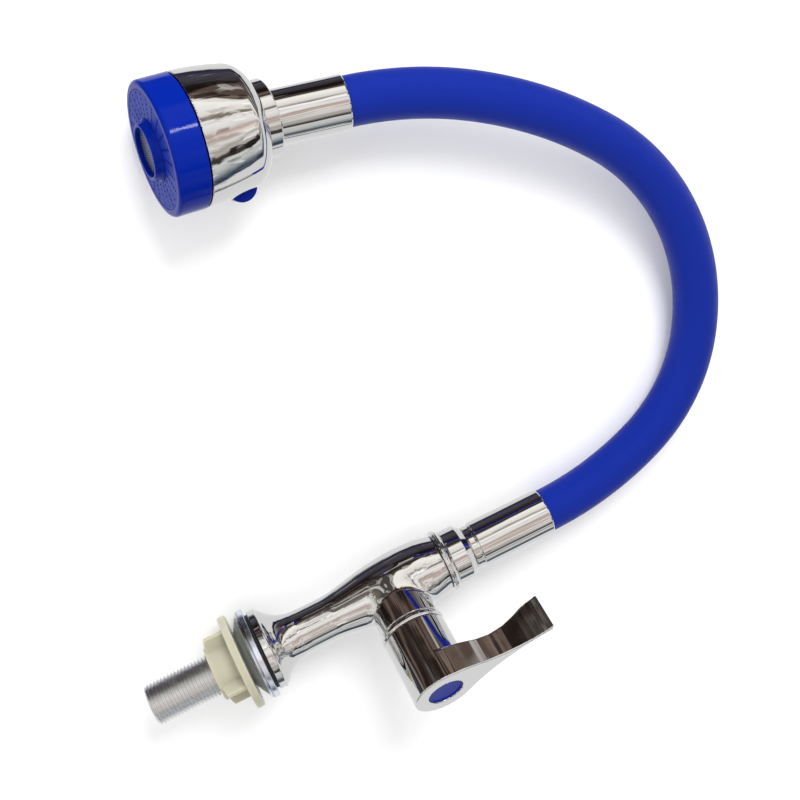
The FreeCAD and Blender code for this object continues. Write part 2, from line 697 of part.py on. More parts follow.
ceramic_disc("fixed_disc", seal_end)
ceramic_disc("moving_disc", moving_low)
valve_bore_r = d.disc_d / 2 + d.part_gap
spindle_r = d.spindle_d / 2
spindle_flange = d.disc_t
turned(
    "valve_body",
    [
        (valve_bore_r, seal_end),
        (d.valve_shell_d / 2, seal_end),
        (d.valve_shell_d / 2, shell_end),
        (d.valve_thread_d / 2, shell_end),
        (d.valve_thread_d / 2, d.boss_reach),
        (d.valve_hex_d / 2, d.boss_reach),
        (d.valve_hex_d / 2, d.boss_reach + d.valve_hex_t),
        (d.valve_neck_d / 2, d.boss_reach + d.valve_hex_t),
        (d.valve_neck_d / 2, d.valve_neck_end),
        (spindle_r + d.spindle_play, d.valve_neck_end),
        (spindle_r + d.spindle_play, spindle_low + spindle_flange + d.disc_gap),
        (valve_bore_r, spindle_low + spindle_flange + d.disc_gap),
    ],
    lever_place,
)
screw_hole = d.screw_d / 2 + d.part_gap / 2
screw_low = d.spindle_end - d.screw_grip
turned(
    "spindle",
    [
        (0, spindle_low),
        (d.disc_d / 2 - d.part_gap, spindle_low),
        (d.disc_d / 2 - d.part_gap, spindle_low + spindle_flange),
        (spindle_r, spindle_low + spindle_flange),
        (spindle_r, d.spindle_end),
        (screw_hole, d.spindle_end),
        (screw_hole, screw_low - d.part_gap),
        (0, screw_low - d.part_gap),
    ],
    lever_place,
)
ring_top = d.boss_reach + d.ring_t
turned(
    "trim_ring",
    [
        (d.valve_hex_d / 2 + d.part_gap, d.boss_reach),
        (d.ring_d / 2 - d.ring_t / 4, d.boss_reach),
        (d.ring_d / 2, d.boss_reach + d.ring_t / 2, d.ring_t, "left"),
        (d.ring_d / 2 - d.ring_t / 4, ring_top, d.ring_t, "left"),
        (d.valve_hex_d / 2 + d.part_gap, ring_top),
    ],
    lever_place,
)

# Lever: hub, comma-shaped blade, then the hollow, the spindle socket and the button's recess
# The blade's outline starts and ends on the hub, at these shares of the hub's radius.
BLADE_ROOT = (0.2, 0.98)
BLADE_FOOT = (0.77, -0.636)
lever = new_body("lever_handle", lever_place)
hub_r = d.hub_d / 2
hub_low = ring_top + d.hub_gap
blade_low = d.hub_face - d.blade_tip_edge
blade_sketch = draw(
    lever,
    "blade_outline",
    "XY_Plane",
    [
        (hub_r * BLADE_ROOT[0], hub_r * BLADE_ROOT[1]),
        (d.blade_start, d.blade_start_side),
        (d.blade_reach, d.blade_side, d.blade_hollow, "left"),
        (d.blade_reach - d.tip_lean, d.blade_side - d.blade_tip_t),
        (hub_r * BLADE_FOOT[0], hub_r * BLADE_FOOT[1], d.blade_back, "left"),
    ],
)
blade_sketch.setExpression("AttachmentOffset.Base.z", blade_low.text)
extrude(lever, "blade", "PartDesign::Pad", blade_sketch, d.blade_tip_edge)
neck_low = d.hub_face - d.blade_edge
cut_low = blade_low - d.part_gap
cut_end = d.blade_reach + d.blade_tip_t
rear_cut = draw(
    lever,
    "rear_edge_outline",
    "XZ_Plane",
    [
        (-hub_r, cut_low),
        (cut_end, cut_low),
        (cut_end, blade_low),
        (d.blade_kink, blade_low + d.kink_rise),
        (hub_r, neck_low, d.blade_sweep, "left"),
        (-hub_r, neck_low),
    ],
)
extrude(lever, "rear_edge", "PartDesign::Pocket", rear_cut, d.hub_d * 2, middle=True)
turned_feature(
    lever,
    "hub",
    "PartDesign::Revolution",
    [(0, hub_low), (hub_r, hub_low), (hub_r, d.hub_face), (0, d.hub_face)],
)
floor_low = d.hub_face - d.hub_floor
button_low = d.hub_face - d.button_sink - d.button_t
turned_feature(
    lever,
    "hub_hollow",
    "PartDesign::Groove",
    [
        (d.socket_d / 2, hub_low),
        (hub_r - d.hub_wall, hub_low),
        (hub_r - d.hub_wall, floor_low),
        (d.socket_d / 2, floor_low),
    ],
)
socket_r = spindle_r + d.spindle_play
turned_feature(
    lever,
    "spindle_socket",
    "PartDesign::Groove",
    [
        (0, hub_low),
        (d.socket_d / 2, hub_low),
        (d.socket_d / 2, d.socket_start),
        (socket_r, d.socket_start),
        (socket_r, d.spindle_end + d.part_gap),
        (0, d.spindle_end + d.part_gap),
    ],
)
head_low = button_low - d.screw_head_t - d.part_gap
turned_feature(
    lever,
    "screw_recess",
    "PartDesign::Groove",
    [
        (0, d.spindle_end),
        (screw_hole, d.spindle_end),
        (screw_hole, head_low),
        (d.screw_head_d / 2 + d.part_gap, head_low),
        (d.screw_head_d / 2 + d.part_gap, button_low),
        (d.button_d / 2 + d.part_gap / 2, button_low),
        (d.button_d / 2 + d.part_gap / 2, d.hub_face),
        (0, d.hub_face),
    ],
)
screw = new_body("lever_screw", lever_place)
turned_feature(
    screw,
    "screw_turned",
    "PartDesign::Revolution",
    [
        (0, screw_low),
        (d.screw_d / 2, screw_low),
        (d.screw_d / 2, head_low),
        (d.screw_head_d / 2, head_low),
        (d.screw_head_d / 2, head_low + d.screw_head_t),
        (0, head_low + d.screw_head_t),
    ],
)
turned(
    "index_button",
    [
        (0, button_low),
        (d.button_d / 2, button_low),
        (d.button_d / 2, button_low + d.button_t),
        (d.button_d / 2 - d.button_sink, button_low + d.button_t),
        (0, button_low + d.button_t - d.button_sink, d.button_dish, "right"),
    ],
    lever_place,
)

# Spout swivel: ring and collar nut on the body, stem with its seals and glide washer inside
neck_r = d.neck_d / 2 + d.part_gap
ring_low = d.body_top
turned(
    "swivel_ring",
    [
        (neck_r, ring_low),
        (d.swivel_ring_d / 2 - d.swivel_ring_t / 4, ring_low),
        (d.swivel_ring_d / 2, ring_low + d.swivel_ring_t / 4, d.swivel_ring_t / 4, "left"),
        (d.swivel_ring_d / 2 - d.swivel_ring_t / 4, ring_low + d.swivel_ring_t / 2,
         d.swivel_ring_t / 4, "left"),
        (d.swivel_ring_d / 2 - d.swivel_ring_t / 4, ring_low + d.swivel_step),
        (d.swivel_ring_d / 2 - d.swivel_ring_t / 2, ring_low + d.swivel_ring_t),
        (neck_r, ring_low + d.swivel_ring_t),
    ],
)
collar_low = ring_low + d.swivel_ring_t
stem_r = d.spout_bore / 2 - d.stem_play
flange_low = d.neck_top + d.glide_t + d.disc_gap * 2
flange_high = flange_low + d.stem_flange_t
turned(
    "collar_nut",
    [
        (neck_r, collar_low),
        (d.collar_d / 2, collar_low),
        (d.collar_d / 2, d.collar_top - d.collar_round),
        (d.collar_d / 2 - d.collar_slope, d.collar_top),
        (d.stem_neck_d / 2 + d.stem_play, d.collar_top),
        (d.stem_neck_d / 2 + d.stem_play, d.collar_top - d.collar_lip),
        (neck_r, d.collar_top - d.collar_lip),
    ],
)
tube("glide_washer", d.stem_flange_d / 2, stem_r + d.stem_play, d.neck_top + d.disc_gap,
     d.neck_top + d.disc_gap + d.glide_t)
stem_low = d.spout_bore_floor + d.stem_rest
seal_r = stem_r - d.seal_wire
groove_half = d.seal_groove / 2
shoulder = d.ferrule_low + d.ferrule_floor
stem = turned(
    "spout_stem",
    [
        (d.stem_bore / 2, stem_low),
        (stem_r, stem_low),
        (stem_r, flange_low),
        (d.stem_flange_d / 2, flange_low),
        (d.stem_flange_d / 2, flange_high),
        (d.stem_neck_d / 2, flange_high),
        (d.stem_neck_d / 2, shoulder),
        (d.tail_d / 2, shoulder),
        (d.tail_d / 2, shoulder + d.tail_length),
        (d.tail_bore / 2, shoulder + d.tail_length),
        (d.tail_bore / 2, shoulder - d.tail_bore),
        (d.stem_bore / 2, shoulder - d.tail_bore - (d.stem_bore - d.tail_bore) / 2),
    ],
)
seal_heights = [d.seal_low, d.seal_low + d.seal_step]
for k, height in enumerate(seal_heights):
    turned_feature(
        stem,
        f"seal_groove_{k + 1}",
        "PartDesign::Groove",
        [
            (seal_r, height - groove_half),
            (stem_r + d.stem_play, height - groove_half),
            (stem_r + d.stem_play, height + groove_half),
            (seal_r, height + groove_half),
        ],
    )
rings = []
for k, height in enumerate(seal_heights):
    ring = doc.addObject("Part::Torus", f"stem_seal_ring_{k + 1}")
    bind(ring, Radius1=stem_r - d.seal_wire / 2 + d.stem_play / 2, Radius2=d.seal_wire / 2)
    ring.setExpression("Placement.Base.z", height.text)
    rings.append(ring)
seals = doc.addObject("Part::Compound", "stem_seals")
seals.Links = rings
keep(seals, "stem_seals")
ferrule_r = d.ferrule_d / 2
hose_r = d.hose_d / 2
edge = d.edge_round
turned(
    "lower_ferrule",
    [
        (d.stem_neck_d / 2 + d.part_gap / 2, d.ferrule_low),
        (d.ferrule_neck_d / 2 - edge, d.ferrule_low),
        (d.ferrule_neck_d / 2, d.ferrule_low + edge),
        (d.ferrule_neck_d / 2, d.ferrule_low + d.ferrule_neck),
        (ferrule_r, d.ferrule_low + d.ferrule_neck + edge),
        (ferrule_r, d.hose_start - edge),
        (ferrule_r - edge, d.hose_start),
        (hose_r + d.part_gap, d.hose_start),
        (hose_r + d.part_gap, shoulder + d.part_gap),
        (d.stem_neck_d / 2 + d.part_gap / 2, shoulder + d.part_gap),
    ],
)

# Hose arm: six stretches, each an even bend, that meet at ball seams
bends = [d.bend_a, d.bend_b, d.bend_c, d.bend_d, d.bend_e, d.bend_f]
twists = [0.0, 0.0, 0.0, 0.0, d.twist_e_deg.value, d.twist_f_deg.value]
link_length = d.hose_length / len(bends)
goose_r = hose_r - d.sleeve_wall - d.layer_gap
inner_r = goose_r - d.goose_wall - d.layer_gap
LAYERS = (
    ("hose_sleeve", hose_r, d.sleeve_wall, d.sleeve_grip),
    ("gooseneck", goose_r, d.goose_wall, d.goose_grip),
    ("water_hose", inner_r, d.inner_wall, d.inner_grip),
)
FULL_TURN = 180 / math.pi
# A stretch begins early by this share of the seam's radius, and the tools that trim it are
# this much wider than the hose and longer than the seam's radius.
LAP_SHARE = 0.65
TRIM_WIDE = 1.3
TRIM_LONG = 1.5
LAP = d.seam_ball.value * LAP_SHARE


def bend_radius(turn):
    """Radius of a stretch's centre line."""
    return link_length / turn * FULL_TURN


def torus_arc(name, radius, turn, place, lap):
    """Part of a torus along a stretch, begun lap millimetres early."""
    big = bend_radius(turn)
    early = lap / big.value * FULL_TURN
    arc = doc.addObject("Part::Torus", name)
    bind(arc, Radius1=big, Radius2=radius, Angle3=turn + early)
    arc.Placement = (
        place * at(x=-big.value, axis=Vector(1, 0, 0), angle=90) * at(angle=-early)
    )
    return arc


def cylinder(name, radius, length, place):
    """A cylinder along the place's Z."""
    rod = doc.addObject("Part::Cylinder", name)
    bind(rod, Radius=radius, Height=length)
    rod.Placement = place
    return rod


def fuse(name, shapes):
    """Several shapes as one."""
    whole = doc.addObject("Part::MultiFuse", name)
    whole.Shapes = shapes
    return whole


def cut(name, base, tool):
    """One shape less another."""
    rest = doc.addObject("Part::Cut", name)
    rest.Base = base
    rest.Tool = tool
    return rest


def ball(name, radius, place):
    """A ball."""
    sphere = doc.addObject("Part::Sphere", name)
    bind(sphere, Radius=radius)
    sphere.Placement = place
    return sphere


starts = []
centres = [None]
place = at(z=d.hose_start.value)
for k, turn in enumerate(bends):
    place = place * at(angle=twists[k])
    starts.append(place)
    big = bend_radius(turn).value
    swing = math.radians(turn.value)
    end = place * Placement(
        Vector(-big * (1 - math.cos(swing)), 0, big * math.sin(swing)),
        Rotation(ACROSS, -turn.value),
    )
    back = 2 * math.asin(d.seam_ball.value / (2 * big))
    centres.append(
        end
        * Placement(
            Vector(-big * (1 - math.cos(back)), 0, -big * math.sin(back)),
            Rotation(ACROSS, math.degrees(back)),
        )
    )
    place = end
hose_end = place
for k, turn in enumerate(bends):
    trims = []
    if k > 0:
        seat = ball(f"seam_seat_{k + 1}", d.seam_ball + d.seam_gap, centres[k])
        trims.append(seat)
    if k < len(bends) - 1:
        block = cylinder(
            f"seam_block_{k + 1}", hose_r * TRIM_WIDE, d.seam_ball * TRIM_LONG, centres[k + 1]
        )
        dome = ball(f"seam_dome_{k + 1}", d.seam_ball, centres[k + 1])
        trims.append(cut(f"seam_trim_{k + 1}", block, dome))
    trim = fuse(f"trims_{k + 1}", trims) if len(trims) > 1 else trims[0]
    for name, radius, wall, grip in LAYERS:
        solids = []
        for kind, size in (("outer", radius), ("inner", radius - wall)):
            tag = f"{name}_{kind}_{k + 1}"
            lap = LAP if k > 0 else 0.0
            pieces = [torus_arc(tag, size, turn, starts[k], lap)]
            if k == 0:
                low = starts[0] * at(z=-(grip + d.low_grip).value)
                pieces.append(cylinder(tag + "_grip", size, grip + d.low_grip, low))
            if k == len(bends) - 1:
                pieces.append(cylinder(tag + "_grip", size, grip, hose_end))
            solids.append(fuse(tag + "_all", pieces) if len(pieces) > 1 else pieces[0])
        hollow = cut(f"{name}_hollow_{k + 1}", solids[0], solids[1])
        keep(cut(f"{name}_{k + 1}", hollow, trim), f"{name}_{k + 1}")

# Upper ferrule and the ball stem that closes it; their own Z runs on from the hose
end_low = d.ferrule_top - d.ferrule_end
turned(
    "upper_ferrule",
    [
        (hose_r + d.part_gap, 0),
        (ferrule_r - edge, 0),
        (ferrule_r, edge),
        (ferrule_r, d.ferrule_top - edge),
        (ferrule_r - edge, d.ferrule_top),
        (d.ball_neck_d / 2 + d.part_gap, d.ferrule_top),
        (d.ball_neck_d / 2 + d.part_gap, end_low),
        (hose_r + d.part_gap, end_low),
    ],
    hose_end,
)
ball_r = d.ball_d / 2
neck_end = d.ball_reach - root_of(ball_r * ball_r - d.ball_neck_d * d.ball_neck_d / 4)
ball_face = d.ball_reach + root_of(ball_r * ball_r - d.ball_bore * d.ball_bore / 4)
stem_foot = end_low - d.part_gap
foot_low = stem_foot - d.plug_t
turned(
    "ball_stem",
    [
        (d.ball_bore / 2, foot_low - d.tail_length),
        (d.tail_d / 2, foot_low - d.tail_length),
        (d.tail_d / 2, foot_low),
        (hose_r, foot_low),
        (hose_r, stem_foot),
        (d.ball_neck_d / 2, stem_foot),
        (d.ball_neck_d / 2, neck_end),
        (ball_r, d.ball_reach, ball_r, "left"),
        (d.ball_bore / 2, ball_face, ball_r, "left"),
    ],
    hose_end,
)

# Spray head: its own Z runs from the ball's centre to the face, its own X to the toggle
ball_centre = hose_end * at(z=d.ball_reach.value)
head = (
    ball_centre
    * at(axis=Vector(1, 0, 0), angle=d.tilt_side.value)
    * at(axis=ACROSS, angle=-d.tilt_in.value)
    * at(angle=d.head_roll.value)
)


def ring_at(radius, height):
    """Distance from the axis of a sphere's surface at a height."""
    return root_of(radius * radius - height * height)


seat_in = ball_r + d.ball_play
seat_out = seat_in + d.seat_wall
pocket = seat_out + d.ball_play
turned(
    "ball_seat",
    [
        (ring_at(seat_in, d.seat_high), d.seat_high),
        (ring_at(seat_in, d.seat_low), d.seat_low, seat_in, "right"),
        (ring_at(seat_out, d.seat_low), d.seat_low),
        (ring_at(seat_out, d.seat_high), d.seat_high, seat_out, "left"),
    ],
    head,
)
mouth_r = d.socket_mouth / 2
socket_r2 = d.socket_ring_d / 2
turned(
    "socket_ring",
    [
        (d.socket_ring_bore / 2, -d.socket_ring_back),
        (socket_r2 - edge, -d.socket_ring_back),
        (socket_r2, -d.socket_ring_back + edge),
        (socket_r2, -d.bell_back - d.part_gap),
        (d.socket_thread_d / 2, -d.bell_back - d.part_gap),
        (d.socket_thread_d / 2, d.socket_front),
        (seat_in, d.socket_front),
        (seat_in, 0),
        (mouth_r, -ring_at(seat_in, mouth_r), seat_in, "right"),
        (d.socket_flare / 2, -d.socket_floor),
        (d.socket_ring_bore / 2, -d.socket_floor),
    ],
    head,
)
side_r = d.bell_side_d / 2
mouth = d.bell_mouth_d / 2
flat_r = side_r - d.bell_shoulder
inside = d.bell_shoulder - d.bell_wall
bell = turned(
    "spray_bell",
    [
        (d.socket_thread_d / 2 + d.part_gap, -d.bell_back),
        (flat_r, -d.bell_back),
        (side_r, d.bell_shoulder - d.bell_back, d.bell_shoulder, "left"),
        (mouth, d.bell_mouth, d.bell_sweep, "left"),
        (mouth - d.bell_wall, d.bell_mouth),
        (side_r - d.bell_wall, d.bell_shoulder - d.bell_back, d.bell_sweep, "right"),
        (flat_r, d.bell_wall - d.bell_back, inside, "right"),
        (d.bell_boss_d / 2, d.bell_wall - d.bell_back),
        (d.bell_boss_d / 2, -d.bell_boss),
        (d.socket_thread_d / 2 + d.part_gap, -d.bell_boss),
    ],
    head,
)
lobe_r = d.lobe_d / 2
slot_low = d.lobe_z - lobe_r - d.toggle_gap
slot_high = d.lobe_z + lobe_r + d.toggle_lead
slot_half = d.toggle_t / 2 + d.toggle_gap
slot = draw(
    bell,
    "toggle_slot_outline",
    "XZ_Plane",
    [
        (d.toggle_out, slot_low),
        (mouth + d.bell_wall, slot_low),
        (mouth + d.bell_wall, slot_high),
        (d.toggle_out, slot_high),
    ],
)
extrude(bell, "toggle_slot", "PartDesign::Pocket", slot, slot_half * 2, middle=True)
ring_back = d.bell_mouth + d.face_gap
ring_r = d.face_ring_d / 2
plate_high = d.face_front - d.plate_sink
plate_low = plate_high - d.plate_t
turned(
    "face_ring",
    [
        (d.face_inner_d / 2, d.bell_mouth - d.face_skirt),
        (d.face_skirt_d / 2, d.bell_mouth - d.face_skirt),
        (d.face_skirt_d / 2, ring_back),
        (ring_r, ring_back),
        (ring_r, d.face_front - d.face_round),
        (ring_r - d.face_round, d.face_front, d.face_round, "left"),
        (d.plate_d / 2 + d.part_gap, d.face_front),
        (d.plate_d / 2 + d.part_gap, plate_low - d.part_gap),
        (d.face_inner_d / 2, plate_low - d.part_gap),
    ],
    head,
)
plate = tube("spray_plate", d.plate_d / 2, d.plate_hole / 2, plate_low, plate_high, head)
row_of_jets = [(d.jet_first + d.jet_step * k, 0, d.jet_d) for k in range(int(d.jets_in_row.value))]
jets = extrude(
    plate,
    "jets",
    "PartDesign::Pocket",
    circles(plate, "jet_outline", "XY_Plane", row_of_jets),
    d.face_front,
    back=True,
)
round_pattern(plate, "jet_rows", jets, d.jet_rows)
rim = d.face_front + d.nozzle_proud
foot_high = plate_low - d.part_gap
divider_front = d.divider_back + d.divider_t
mesh_high = rim - d.mesh_sink
mesh_low = mesh_high - d.mesh_t
cup_low = mesh_low - d.aerator_length
rim_round = d.nozzle_rim_d / 2 - d.nozzle_bore / 2
turned(
    "nozzle_collar",
    [
        (d.nozzle_stop_d / 2, divider_front + d.part_gap),
        (d.nozzle_d / 2, divider_front + d.part_gap),
        (d.nozzle_d / 2, foot_high - d.nozzle_foot_t),
        (d.nozzle_foot_d / 2, foot_high - d.nozzle_foot_t),
        (d.nozzle_foot_d / 2, foot_high),
        (d.nozzle_d / 2, foot_high),
        (d.nozzle_d / 2, d.face_front),
        (d.nozzle_rim_d / 2, rim - rim_round / 2),
        (d.nozzle_rim_d / 2 - rim_round / 2, rim, rim_round / 2, "left"),
        (d.nozzle_bore / 2, rim),
        (d.nozzle_bore / 2, cup_low - d.part_gap),
        (d.nozzle_stop_d / 2, cup_low - d.part_gap),
    ],
    head,
)
cup_r = d.nozzle_bore / 2 - d.part_gap
tube("aerator_mesh", cup_r, 0, mesh_low, mesh_high, head)
cup = turned(
    "aerator_cup",
    [
        (0, cup_low),
        (cup_r, cup_low),
        (cup_r, mesh_low - d.part_gap),
        (cup_r - d.aerator_wall, mesh_low - d.part_gap),
        (cup_r - d.aerator_wall, cup_low + d.aerator_wall),
        (0, cup_low + d.aerator_wall),
    ],
    head,
)
cup_round = [(d.aerator_holes_out, 0, d.aerator_hole_d)]
cup_holes = circles(cup, "cup_hole_outline", "XY_Plane", cup_round)
cup_hole = extrude(cup, "cup_hole", "PartDesign::Pocket", cup_holes, rim, back=True)
round_pattern(cup, "cup_holes", cup_hole, d.divider_ports)
core_r = d.core_d / 2
chamber_r = d.core_flange_d / 2 - d.core_wall
inlet_high = d.core_pocket + d.core_inlet_t
spool_hole = d.spool_d / 2 + d.spool_play
core = turned(
    "spray_core",
    [
        (ring_at(pocket, d.core_back), d.core_back, pocket, "right"),
        (core_r, d.core_back),
        (core_r, d.core_flange_back),
        (d.core_flange_d / 2, d.core_flange_back),
        (d.core_flange_d / 2, d.core_front),
        (chamber_r, d.core_front),
        (chamber_r, d.divider_back - d.part_gap),
        (chamber_r - d.core_wall, d.divider_back - d.part_gap),
        (chamber_r - d.core_wall, d.core_floor),
        (spool_hole, d.core_floor),
        (spool_hole, inlet_high),
        (d.core_inlet_d / 2, inlet_high),
        (d.core_inlet_d / 2, d.core_pocket),
        (ring_at(pocket, d.core_pocket), d.core_pocket),
    ],
    head,
)
arm_slot = draw(
    core,
    "arm_slot_outline",
    "XZ_Plane",
    [
        (d.spool_waist_d / 2, d.arm_slot_low),
        (core_r + d.part_gap, d.arm_slot_low),
        (core_r + d.part_gap, d.arm_slot_high),
        (d.spool_waist_d / 2, d.arm_slot_high),
    ],
)
arm_room = d.arm_width + d.toggle_gap * 2
extrude(core, "arm_slot", "PartDesign::Pocket", arm_slot, arm_room, middle=True)
bypass = circles(
    core,
    "bypass_outline",
    "XY_Plane",
    [
        (0, d.bypass_out, d.bypass_d),
        (0, -d.bypass_out, d.bypass_d),
        (-d.bypass_out, 0, d.bypass_d),
    ],
)
bypass.setExpression("AttachmentOffset.Base.z", (inlet_high - d.part_gap).text)
extrude(core, "bypass", "PartDesign::Pocket", bypass, d.core_front, back=True)
ear_high = d.bell_mouth - d.face_skirt - d.part_gap
ears = draw(
    core,
    "ear_outline",
    "XZ_Plane",
    [
        (d.ear_in, d.ear_low),
        (d.ear_reach, d.ear_low),
        (d.ear_reach, ear_high),
        (d.ear_in, ear_high),
    ],
)
extrude(core, "ears", "PartDesign::Pad", ears, (slot_half + d.ear_t) * 2, middle=True)
between = draw(
    core,
    "ear_room_outline",
    "XZ_Plane",
    [
        (core_r + d.part_gap, d.ear_low - d.part_gap),
        (d.ear_reach + d.part_gap, d.ear_low - d.part_gap),
        (d.ear_reach + d.part_gap, d.core_flange_back),
        (core_r + d.part_gap, d.core_flange_back),
    ],
)
extrude(core, "ear_room", "PartDesign::Pocket", between, slot_half * 2, middle=True)
pin_hole = circles(core, "pin_hole_outline", "XZ_Plane", [(d.toggle_out, d.toggle_z, d.pin_d)])
pin_reach = (slot_half + d.ear_t) * 2
extrude(core, "pin_hole", "PartDesign::Pocket", pin_hole, pin_reach + d.cut_over, middle=True)
divider = tube(
    "water_divider",
    chamber_r - d.part_gap,
    d.divider_hole / 2,
    d.divider_back,
    divider_front,
    head,
)
port_out = (d.nozzle_d / 2 + chamber_r) / 2
port_sketch = circles(divider, "port_outline", "XY_Plane", [(port_out, 0, d.divider_port_d)])
port_cut = extrude(divider, "port", "PartDesign::Pocket", port_sketch, rim, back=True)
round_pattern(divider, "ports", port_cut, d.divider_ports)
tube(
    "face_seal",
    d.core_flange_d / 2,
    chamber_r,
    d.core_front + d.part_gap / 2,
    plate_low - d.part_gap / 2,
    head,
)
groove_mid = d.spool_low + d.spool_length / 2
spool_r = d.spool_d / 2
waist = d.spool_waist_d / 2
turned(
    "diverter_spool",
    [
        (0, d.spool_low),
        (spool_r, d.spool_low),
        (spool_r, groove_mid - d.spool_groove / 2),
        (waist, groove_mid - d.spool_groove / 2),
        (waist, groove_mid + d.spool_groove / 2),
        (spool_r, groove_mid + d.spool_groove / 2),
        (spool_r, d.spool_low + d.spool_length),
        (waist, d.spool_low + d.spool_length),
        (waist, d.spool_plug - d.divider_t),
        (spool_r, d.spool_plug - d.divider_t),
        (spool_r, d.spool_plug),
        (0, d.spool_plug),
    ],
    head,
)
toggle = new_body("mode_toggle", head)
lobe = circles(toggle, "lobe_outline", "XZ_Plane", [(d.lobe_out, d.lobe_z, d.lobe_d)])
extrude(toggle, "lobe", "PartDesign::Pad", lobe, d.toggle_t, middle=True)
arm_half = d.arm_t / 2
arm = draw(
    toggle,
    "arm_outline",
    "XZ_Plane",
    [
        (d.arm_tip, groove_mid + d.toggle_gap - arm_half),
        (d.toggle_out, d.toggle_z - arm_half),
        (d.toggle_out, d.toggle_z + arm_half),
        (d.arm_tip, groove_mid + d.toggle_gap + arm_half),
    ],
)
extrude(toggle, "arm", "PartDesign::Pad", arm, d.arm_width, middle=True)
bore_d = d.pin_d + d.pin_play * 2
pivot = circles(toggle, "pivot_outline", "XZ_Plane", [(d.toggle_out, d.toggle_z, bore_d)])
extrude(toggle, "pivot", "PartDesign::Pocket", pivot, d.toggle_t + d.cut_over, middle=True)
pin = new_body("toggle_pin", head)
pin_round = circles(pin, "pin_outline", "XZ_Plane", [(d.toggle_out, d.toggle_z, d.pin_d)])
extrude(pin, "pin", "PartDesign::Pad", pin_round, pin_reach, middle=True)

doc.recompute()
for item in doc.Objects:
    if "Invalid" in item.State or "Error" in item.State:
        raise RuntimeError(f"{item.Name} ({item.Label}) is {item.State}")
os.makedirs("parts", exist_ok=True)
for piece in parts:
    shape = piece.Shape
    if shape.isNull() or not shape.isValid() or not shape.Solids:
        raise RuntimeError(f"{piece.Label} has no sound shape")
    shape.exportStep(f"parts/{piece.Label}.step")
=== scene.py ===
import json
import math

import bpy
import numpy as np
from mathutils import Matrix, Vector


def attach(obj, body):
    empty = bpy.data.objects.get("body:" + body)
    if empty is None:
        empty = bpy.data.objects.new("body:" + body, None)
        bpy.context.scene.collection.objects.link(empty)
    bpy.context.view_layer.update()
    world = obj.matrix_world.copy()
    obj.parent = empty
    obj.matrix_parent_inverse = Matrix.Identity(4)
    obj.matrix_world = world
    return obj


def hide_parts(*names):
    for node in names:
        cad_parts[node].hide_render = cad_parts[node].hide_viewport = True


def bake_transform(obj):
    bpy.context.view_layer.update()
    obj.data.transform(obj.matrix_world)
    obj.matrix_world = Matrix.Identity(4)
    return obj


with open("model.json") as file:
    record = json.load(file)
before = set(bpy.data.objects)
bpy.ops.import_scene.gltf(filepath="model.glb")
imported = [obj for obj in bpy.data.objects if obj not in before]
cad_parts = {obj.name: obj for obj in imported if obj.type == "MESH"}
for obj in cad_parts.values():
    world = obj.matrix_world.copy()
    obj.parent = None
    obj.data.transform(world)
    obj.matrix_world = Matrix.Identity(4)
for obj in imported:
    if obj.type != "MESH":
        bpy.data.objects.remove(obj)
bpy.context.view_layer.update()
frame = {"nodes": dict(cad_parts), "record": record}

# Inlet shank: nickel-plated brass pipe with a rolled half inch thread, screwed into the body's
# foot. Its thread is a true helix here, with rounded crests and a chamfered tip.

MM = 0.001
TAU = 2 * math.pi


def put(name, points, faces, material, normals=None, place=None):
    """A smooth mesh object of points in millimetres, moved by place, with exact normals if given."""
    points = np.asarray(points, float).reshape(-1, 3)
    if place is not None:
        turn = np.array(place)[:3, :3]
        points = points @ turn.T + np.array(place)[:3, 3]
        normals = None if normals is None else normals.reshape(-1, 3) @ turn.T
    mesh = bpy.data.meshes.new(name)
    mesh.from_pydata((points * MM).tolist(), [], faces)
    mesh.shade_smooth()
    if normals is not None:
        size = np.linalg.norm(normals.reshape(-1, 3), axis=1, keepdims=True)
        mesh.normals_split_custom_set_from_vertices(
            (normals.reshape(-1, 3) / np.maximum(size, 1e-9)).tolist()
        )
    mesh.materials.append(material)
    obj = bpy.data.objects.new(name, mesh)
    bpy.context.scene.collection.objects.link(obj)
    return obj


def grid_faces(rows, cols, wrap_rows=False):
    """Faces of a grid whose columns close on themselves, as lists of corner indices."""
    i = np.arange(rows if wrap_rows else rows - 1)[:, None]
    j = np.arange(cols)[None, :]
    below = (i + 1) % rows
    side = (j + 1) % cols
    quads = np.stack(
        [i * cols + j, i * cols + side, below * cols + side, below * cols + j], axis=-1
    )
    return quads.reshape(-1, 4)


